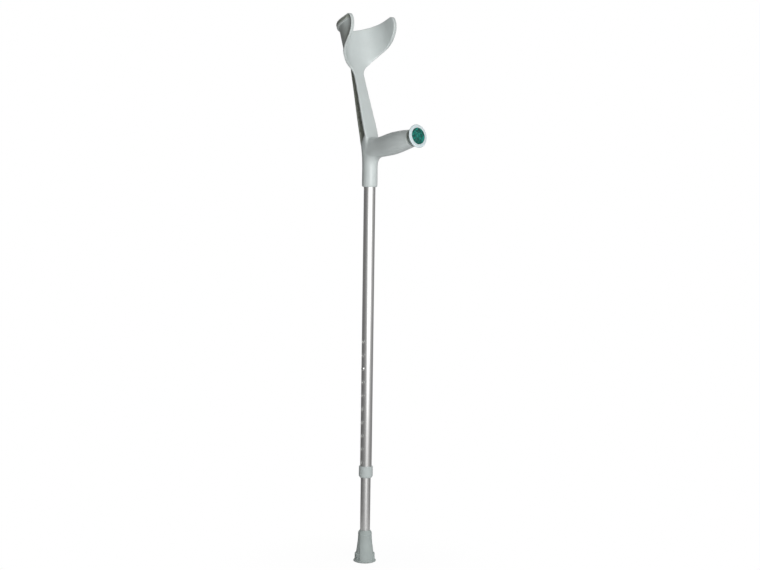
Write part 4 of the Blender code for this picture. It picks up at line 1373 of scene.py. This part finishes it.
def build_floor():
    """A pale floor that keeps a faint shadow near the foot and runs out to plain white."""
    mesh = bmesh.new()
    place = Matrix.Translation((0.0, 0.0, -0.0004))
    bmesh.ops.create_circle(mesh, cap_ends=True, segments=96, radius=6.0, matrix=place)
    floor = object_from_bmesh("floor", mesh)
    if floor.data.polygons[0].normal.z < 0.0:
        floor.data.flip_normals()
    matt = {"Roughness": 0.9, "Specular IOR Level": 0.1}
    kit = Finish("pale_floor", {"Base Color": (0.92, 0.92, 0.92, 1.0), **matt})
    length = kit.add("ShaderNodeVectorMath", {0: kit.place}, "Value", operation="LENGTH")
    far = kit.spread(length, 0.02, 0.30, 0.97, 1.0)
    far.node.interpolation_type = "SMOOTHSTEP"
    parts = {1: Output(kit, kit.shader), 2: kit.add("ShaderNodeEmission")}
    blend = kit.add("ShaderNodeMixShader", {0: far * seen_directly(kit), **parts})
    below = kit.add("ShaderNodeNewGeometry", output="Backfacing")
    clear = kit.add("ShaderNodeBsdfTransparent")
    kit.surface(kit.add("ShaderNodeMixShader", {0: below, 1: blend, 2: clear}))
    floor.data.materials.append(kit.material)


# Round the piece: degrees to the right of the camera, brightness of the gloss tent there
TENT_SIDES = [
    (-180.0, 0.34),
    (-128.0, 0.20),
    (-92.0, 0.17),
    (-60.0, 0.24),
    (-30.0, 0.36),
    (0.0, TENT_FRONT_GREY),
    (40.0, TENT_FRONT_GREY),
    (80.0, 0.38),
    (110.0, 0.26),
    (150.0, 0.30),
    (180.0, 0.34),
]

# Up the tent's light front: height, its middle and half width in degrees, its brightness
TENT_FRONT = [
    (-0.01, 19.0, 22.0, 0.66),
    (0.08, 19.0, 23.0, 0.76),
    (0.20, 23.0, 26.0, 1.02),
    (0.32, 24.0, 31.0, 1.22),
    (0.60, 18.0, 38.0, 1.36),
    (0.95, 18.0, 38.0, 1.20),
    (1.12, 18.0, 36.0, 0.85),
    (1.60, 18.0, 36.0, 0.75),
]


def tent_level(degrees, height):
    """Brightness of the tent: grey sides and a light front that narrows towards the floor."""
    side = between(TENT_SIDES, degrees)[0]
    middle, half, peak = between(TENT_FRONT, height)
    hump = 1.0 - smooth(abs(degrees - middle), 0.45 * half, 1.55 * half)
    return (side + (peak - TENT_FRONT_GREY) * hump) * (0.78 + 0.22 * smooth(height, 0.02, 0.46))


def build_tent():
    """A graded ring round the piece, which only gloss sees: dark sides and a wide light front."""
    rows = (-0.0003, 0.05, 0.10, 0.16, 0.24, 0.34, 0.45, 0.56, 0.68, 0.80, 0.95, 1.15, 1.5)
    mesh = bmesh.new()
    grey = mesh.verts.layers.float.new("grey")
    loops = []
    for height in rows:
        loop = []
        for i in range(120):
            turn = math.radians(PHOTO_TURN - 180.0 + 3.0 * i)
            place = (TENT_RADIUS * math.sin(turn), -TENT_RADIUS * math.cos(turn), height)
            vert = mesh.verts.new(place)
            vert[grey] = tent_level(3.0 * i - 180.0, height)
            loop.append(vert)
        loops.append(loop)
    for low, high in zip(loops, loops[1:]):
        band(mesh, low, high)
    tent = object_from_bmesh("gloss_tent", mesh)
    kit = Finish("gloss_tent", {})
    kit.surface(kit.add("ShaderNodeEmission", {"Strength": kit.attribute("grey")}))
    tent.data.materials.append(kit.material)
    for kind in ("camera", "diffuse", "transmission", "volume_scatter", "shadow"):
        setattr(tent, "visible_" + kind, False)


def build_camera():
    """The photograph's viewpoint: front left, a little under the object's middle."""
    data = bpy.data.cameras.new("camera")
    data.lens = CAMERA_LENS
    data.sensor_width = 36.0
    camera = new_object("camera", data)
    yaw, pitch, roll = (math.radians(angle) for angle in CAMERA_TURN)
    level = math.cos(pitch)
    back = Vector((math.sin(yaw) * level, -math.cos(yaw) * level, math.sin(pitch)))
    right = (-back).cross(Vector((0.0, 0.0, 1.0))).normalized()
    up = right.cross(-back)
    across = math.cos(roll) * right + math.sin(roll) * up
    upward = math.cos(roll) * up - math.sin(roll) * right
    turn = Matrix((across, upward, back)).transposed().to_4x4()
    camera.matrix_world = Matrix.Translation(CAMERA_PLACE) @ turn
    bpy.context.scene.camera = camera


# Settings


def distance(name, description, default):
    """A length among the settings."""
    words = {"name": name, "description": description}
    return FloatProperty(default=default, unit="LENGTH", subtype="DISTANCE", **words)


def number(name, description, default, least, most):
    """A whole number among the settings."""
    words = {"name": name, "description": description}
    return IntProperty(default=default, min=least, max=most, **words)


def shade(name, description, default):
    """A colour among the settings."""
    words = {"name": name, "description": description}
    return FloatVectorProperty(default=default, subtype="COLOR", min=0.0, max=1.0, **words)


class CrutchSizes(bpy.types.PropertyGroup):
    """Sizes of the details."""

    hole_radius: distance("Hole radius", "Radius of the adjustment holes", 0.0038)
    rim_radius: distance("Hole rim", "Half the thickness of the burr round each hole", 0.00024)
    button_radius: distance("Button radius", "Radius of the snap button", 0.0035)
    rib_thickness: distance("Rib thickness", "Thickness of the ribs behind the stem", 0.0016)
    slot_width: distance("Slot width", "Width of the slots in the foot's band", 0.0022)
    slot_depth: distance("Slot depth", "Depth of the slots in the foot's band", 0.0018)
    neck_groove: distance("Neck groove", "Depth of the two ring grooves in the foot's neck", 0.0006)
    tread_rings: number("Tread rings", "Number of grooves in the sole", 4, 1, 8)
    tread_depth: distance("Tread depth", "Depth of the grooves in the sole", 0.0010)
    prism_count: number("Prisms across", "Cells across the reflector's field", 21, 3, 41)
    prism_pitch: distance("Prism pitch", "Distance between the reflector's cells", 0.0016)
    prism_rise: distance("Prism rise", "Height of each cell of the reflector", 0.00042)


class CrutchColours(bpy.types.PropertyGroup):
    """Colours of the finishes."""

    moulding: shade("Moulding", "Grey of the cuff, stem, grip and sleeve", srgb(196, 203, 202))
    collar: shade("Collar", "Grey of the collar between the tubes", srgb(186, 194, 193))
    rubber: shade("Rubber", "Grey of the foot", srgb(168, 177, 175))
    cap: shade("Cap", "White of the disc round the reflector", srgb(200, 212, 215))
    lens: shade("Reflector", "Green of the reflector", srgb(2, 109, 97))
    aluminium: shade("Aluminium", "Colour of the two tubes", (0.80, 0.80, 0.79))
    steel: shade("Steel", "Colour of the button, rivet, washer and spring", (0.72, 0.72, 0.71))


# Operators


def dress(piece, body, node):
    """Lets a finer piece stand for its solid, on the solid's own body."""
    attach(piece, body)
    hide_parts(node)


def paint_node(name, material):
    """Gives a carried-over solid its finish."""
    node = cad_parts[name]
    for slot in node.material_slots:
        slot.material = material


class CRUTCH_OT_studio(bpy.types.Operator):
    """Sets up the floor, the surround, the lamps and the photograph's camera"""

    bl_idname = "crutch.studio"
    bl_label = "Studio"

    def execute(self, context):
        build_camera()
        build_world()
        build_floor()
        add_lamp("key", -24.0, 1.25, 0.75, 51.5)
        add_lamp("back", 140.0, 1.8, 0.6, 22.0)
        build_tent()
        context.scene.view_settings.view_transform = "Standard"
        return {"FINISHED"}


class CRUTCH_OT_foot(bpy.types.Operator):
    """Builds the rubber foot and finishes the washer inside it"""

    bl_idname = "crutch.foot"
    bl_label = "Foot"

    def execute(self, context):
        colours = context.scene.crutch_colours
        rubber = matt_rubber("foot_rubber", colours.rubber)
        dress(build_ferrule(context.scene.crutch_sizes, rubber), "leg", "ferrule")
        paint_node("ferrule_washer", worn_steel("washer_steel", colours.steel, 3.0, 0.38))
        return {"FINISHED"}


class CRUTCH_OT_tubes(bpy.types.Operator):
    """Builds the two aluminium tubes, with a burred rim round each adjustment hole"""

    bl_idname = "crutch.tubes"
    bl_label = "Tubes"

    def execute(self, context):
        sizes = context.scene.crutch_sizes
        colour = context.scene.crutch_colours.aluminium
        outer = drawn_aluminium("outer_aluminium", colour, 0.0)
        inner = drawn_aluminium("inner_aluminium", tinted(colour, 0.96), 4.0, 0.34)
        dress(build_outer_tube(sizes, outer), "upper", "outer_tube")
        dress(build_inner_tube(sizes, inner), "leg", "inner_tube")
        rims = hole_rims(worn_steel("rim_aluminium", colour, 1.0, 0.30), sizes)
        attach(rims, "upper")
        return {"FINISHED"}


class CRUTCH_OT_collar(bpy.types.Operator):
    """Builds the collar between the two tubes"""

    bl_idname = "crutch.collar"
    bl_label = "Collar"

    def execute(self, context):
        plastic = moulded_plastic("collar_plastic", context.scene.crutch_colours.collar, 2.0)
        dress(build_collar(plastic), "upper", "tube_collar")
        return {"FINISHED"}


class CRUTCH_OT_snap_lock(bpy.types.Operator):
    """Builds the snap button and finishes the spring and the bush inside the tube"""

    bl_idname = "crutch.snap_lock"
    bl_label = "Snap lock"

    def execute(self, context):
        colours = context.scene.crutch_colours
        plated = worn_steel("button_steel", tinted(colours.steel, 1.12), 5.0, 0.22)
        dress(build_button(context.scene.crutch_sizes, plated), "button", "snap_button")
        paint_node("snap_spring", worn_steel("spring_steel", colours.steel, 7.0, 0.28))
        paint_node("guide_bush", moulded_plastic("bush_plastic", colours.collar, 9.0))
        return {"FINISHED"}


class CRUTCH_OT_moulding(bpy.types.Operator):
    """Builds the cuff, stem, grip and sleeve as one moulding"""

    bl_idname = "crutch.moulding"
    bl_label = "Moulding"

    def execute(self, context):
        plastic = moulded_plastic("handle_plastic", context.scene.crutch_colours.moulding, 0.0)
        dress(build_moulding(context.scene.crutch_sizes, plastic), "upper", "handle_moulding")
        return {"FINISHED"}


class CRUTCH_OT_rivet(bpy.types.Operator):
    """Builds the rivet in the back of the sleeve"""

    bl_idname = "crutch.rivet"
    bl_label = "Rivet"

    def execute(self, context):
        steel = worn_steel("rivet_steel", context.scene.crutch_colours.steel, 6.0, 0.34)
        dress(build_rivet(steel), "upper", "handle_rivet")
        return {"FINISHED"}


class CRUTCH_OT_reflector(bpy.types.Operator):
    """Builds the white disc on the grip's end and its green reflector"""

    bl_idname = "crutch.reflector"
    bl_label = "Reflector"

    def execute(self, context):
        colours = context.scene.crutch_colours
        white = moulded_plastic("cap_plastic", colours.cap, 11.0, 0.38)
        dress(build_cap(white), "upper", "reflector_cap")
        green = prismatic_green("lens_plastic", colours.lens)
        dress(build_lens(context.scene.crutch_sizes, green), "upper", "reflector_lens")
        return {"FINISHED"}


STEPS = (
    CRUTCH_OT_studio,
    CRUTCH_OT_foot,
    CRUTCH_OT_tubes,
    CRUTCH_OT_collar,
    CRUTCH_OT_snap_lock,
    CRUTCH_OT_moulding,
    CRUTCH_OT_rivet,
    CRUTCH_OT_reflector,
)


class CRUTCH_PT_panel(bpy.types.Panel):
    """Lists the steps that build the crutch, with its sizes and colours"""

    bl_idname = "CRUTCH_PT_panel"
    bl_label = "Forearm Crutch"
    bl_space_type = "VIEW_3D"
    bl_region_type = "UI"
    bl_category = "Crutch"

    def draw(self, context):
        layout = self.layout
        for step in STEPS:
            layout.operator(step.bl_idname)
        for group in (context.scene.crutch_sizes, context.scene.crutch_colours):
            box = layout.box()
            for name in group.__annotations__:
                box.prop(group, name)


CLASSES = (CrutchSizes, CrutchColours, *STEPS, CRUTCH_PT_panel)


def register():
    for item in CLASSES:
        bpy.utils.register_class(item)
    bpy.types.Scene.crutch_sizes = PointerProperty(type=CrutchSizes)
    bpy.types.Scene.crutch_colours = PointerProperty(type=CrutchColours)


def unregister():
    del bpy.types.Scene.crutch_colours
    del bpy.types.Scene.crutch_sizes
    for item in reversed(CLASSES):
        bpy.utils.unregister_class(item)


def main():
    register()
    bpy.ops.crutch.studio()
    bpy.ops.crutch.foot()
    bpy.ops.crutch.tubes()
    bpy.ops.crutch.collar()
    bpy.ops.crutch.snap_lock()
    bpy.ops.crutch.moulding()
    bpy.ops.crutch.rivet()
    bpy.ops.crutch.reflector()


if __name__ == "__main__":
    main()
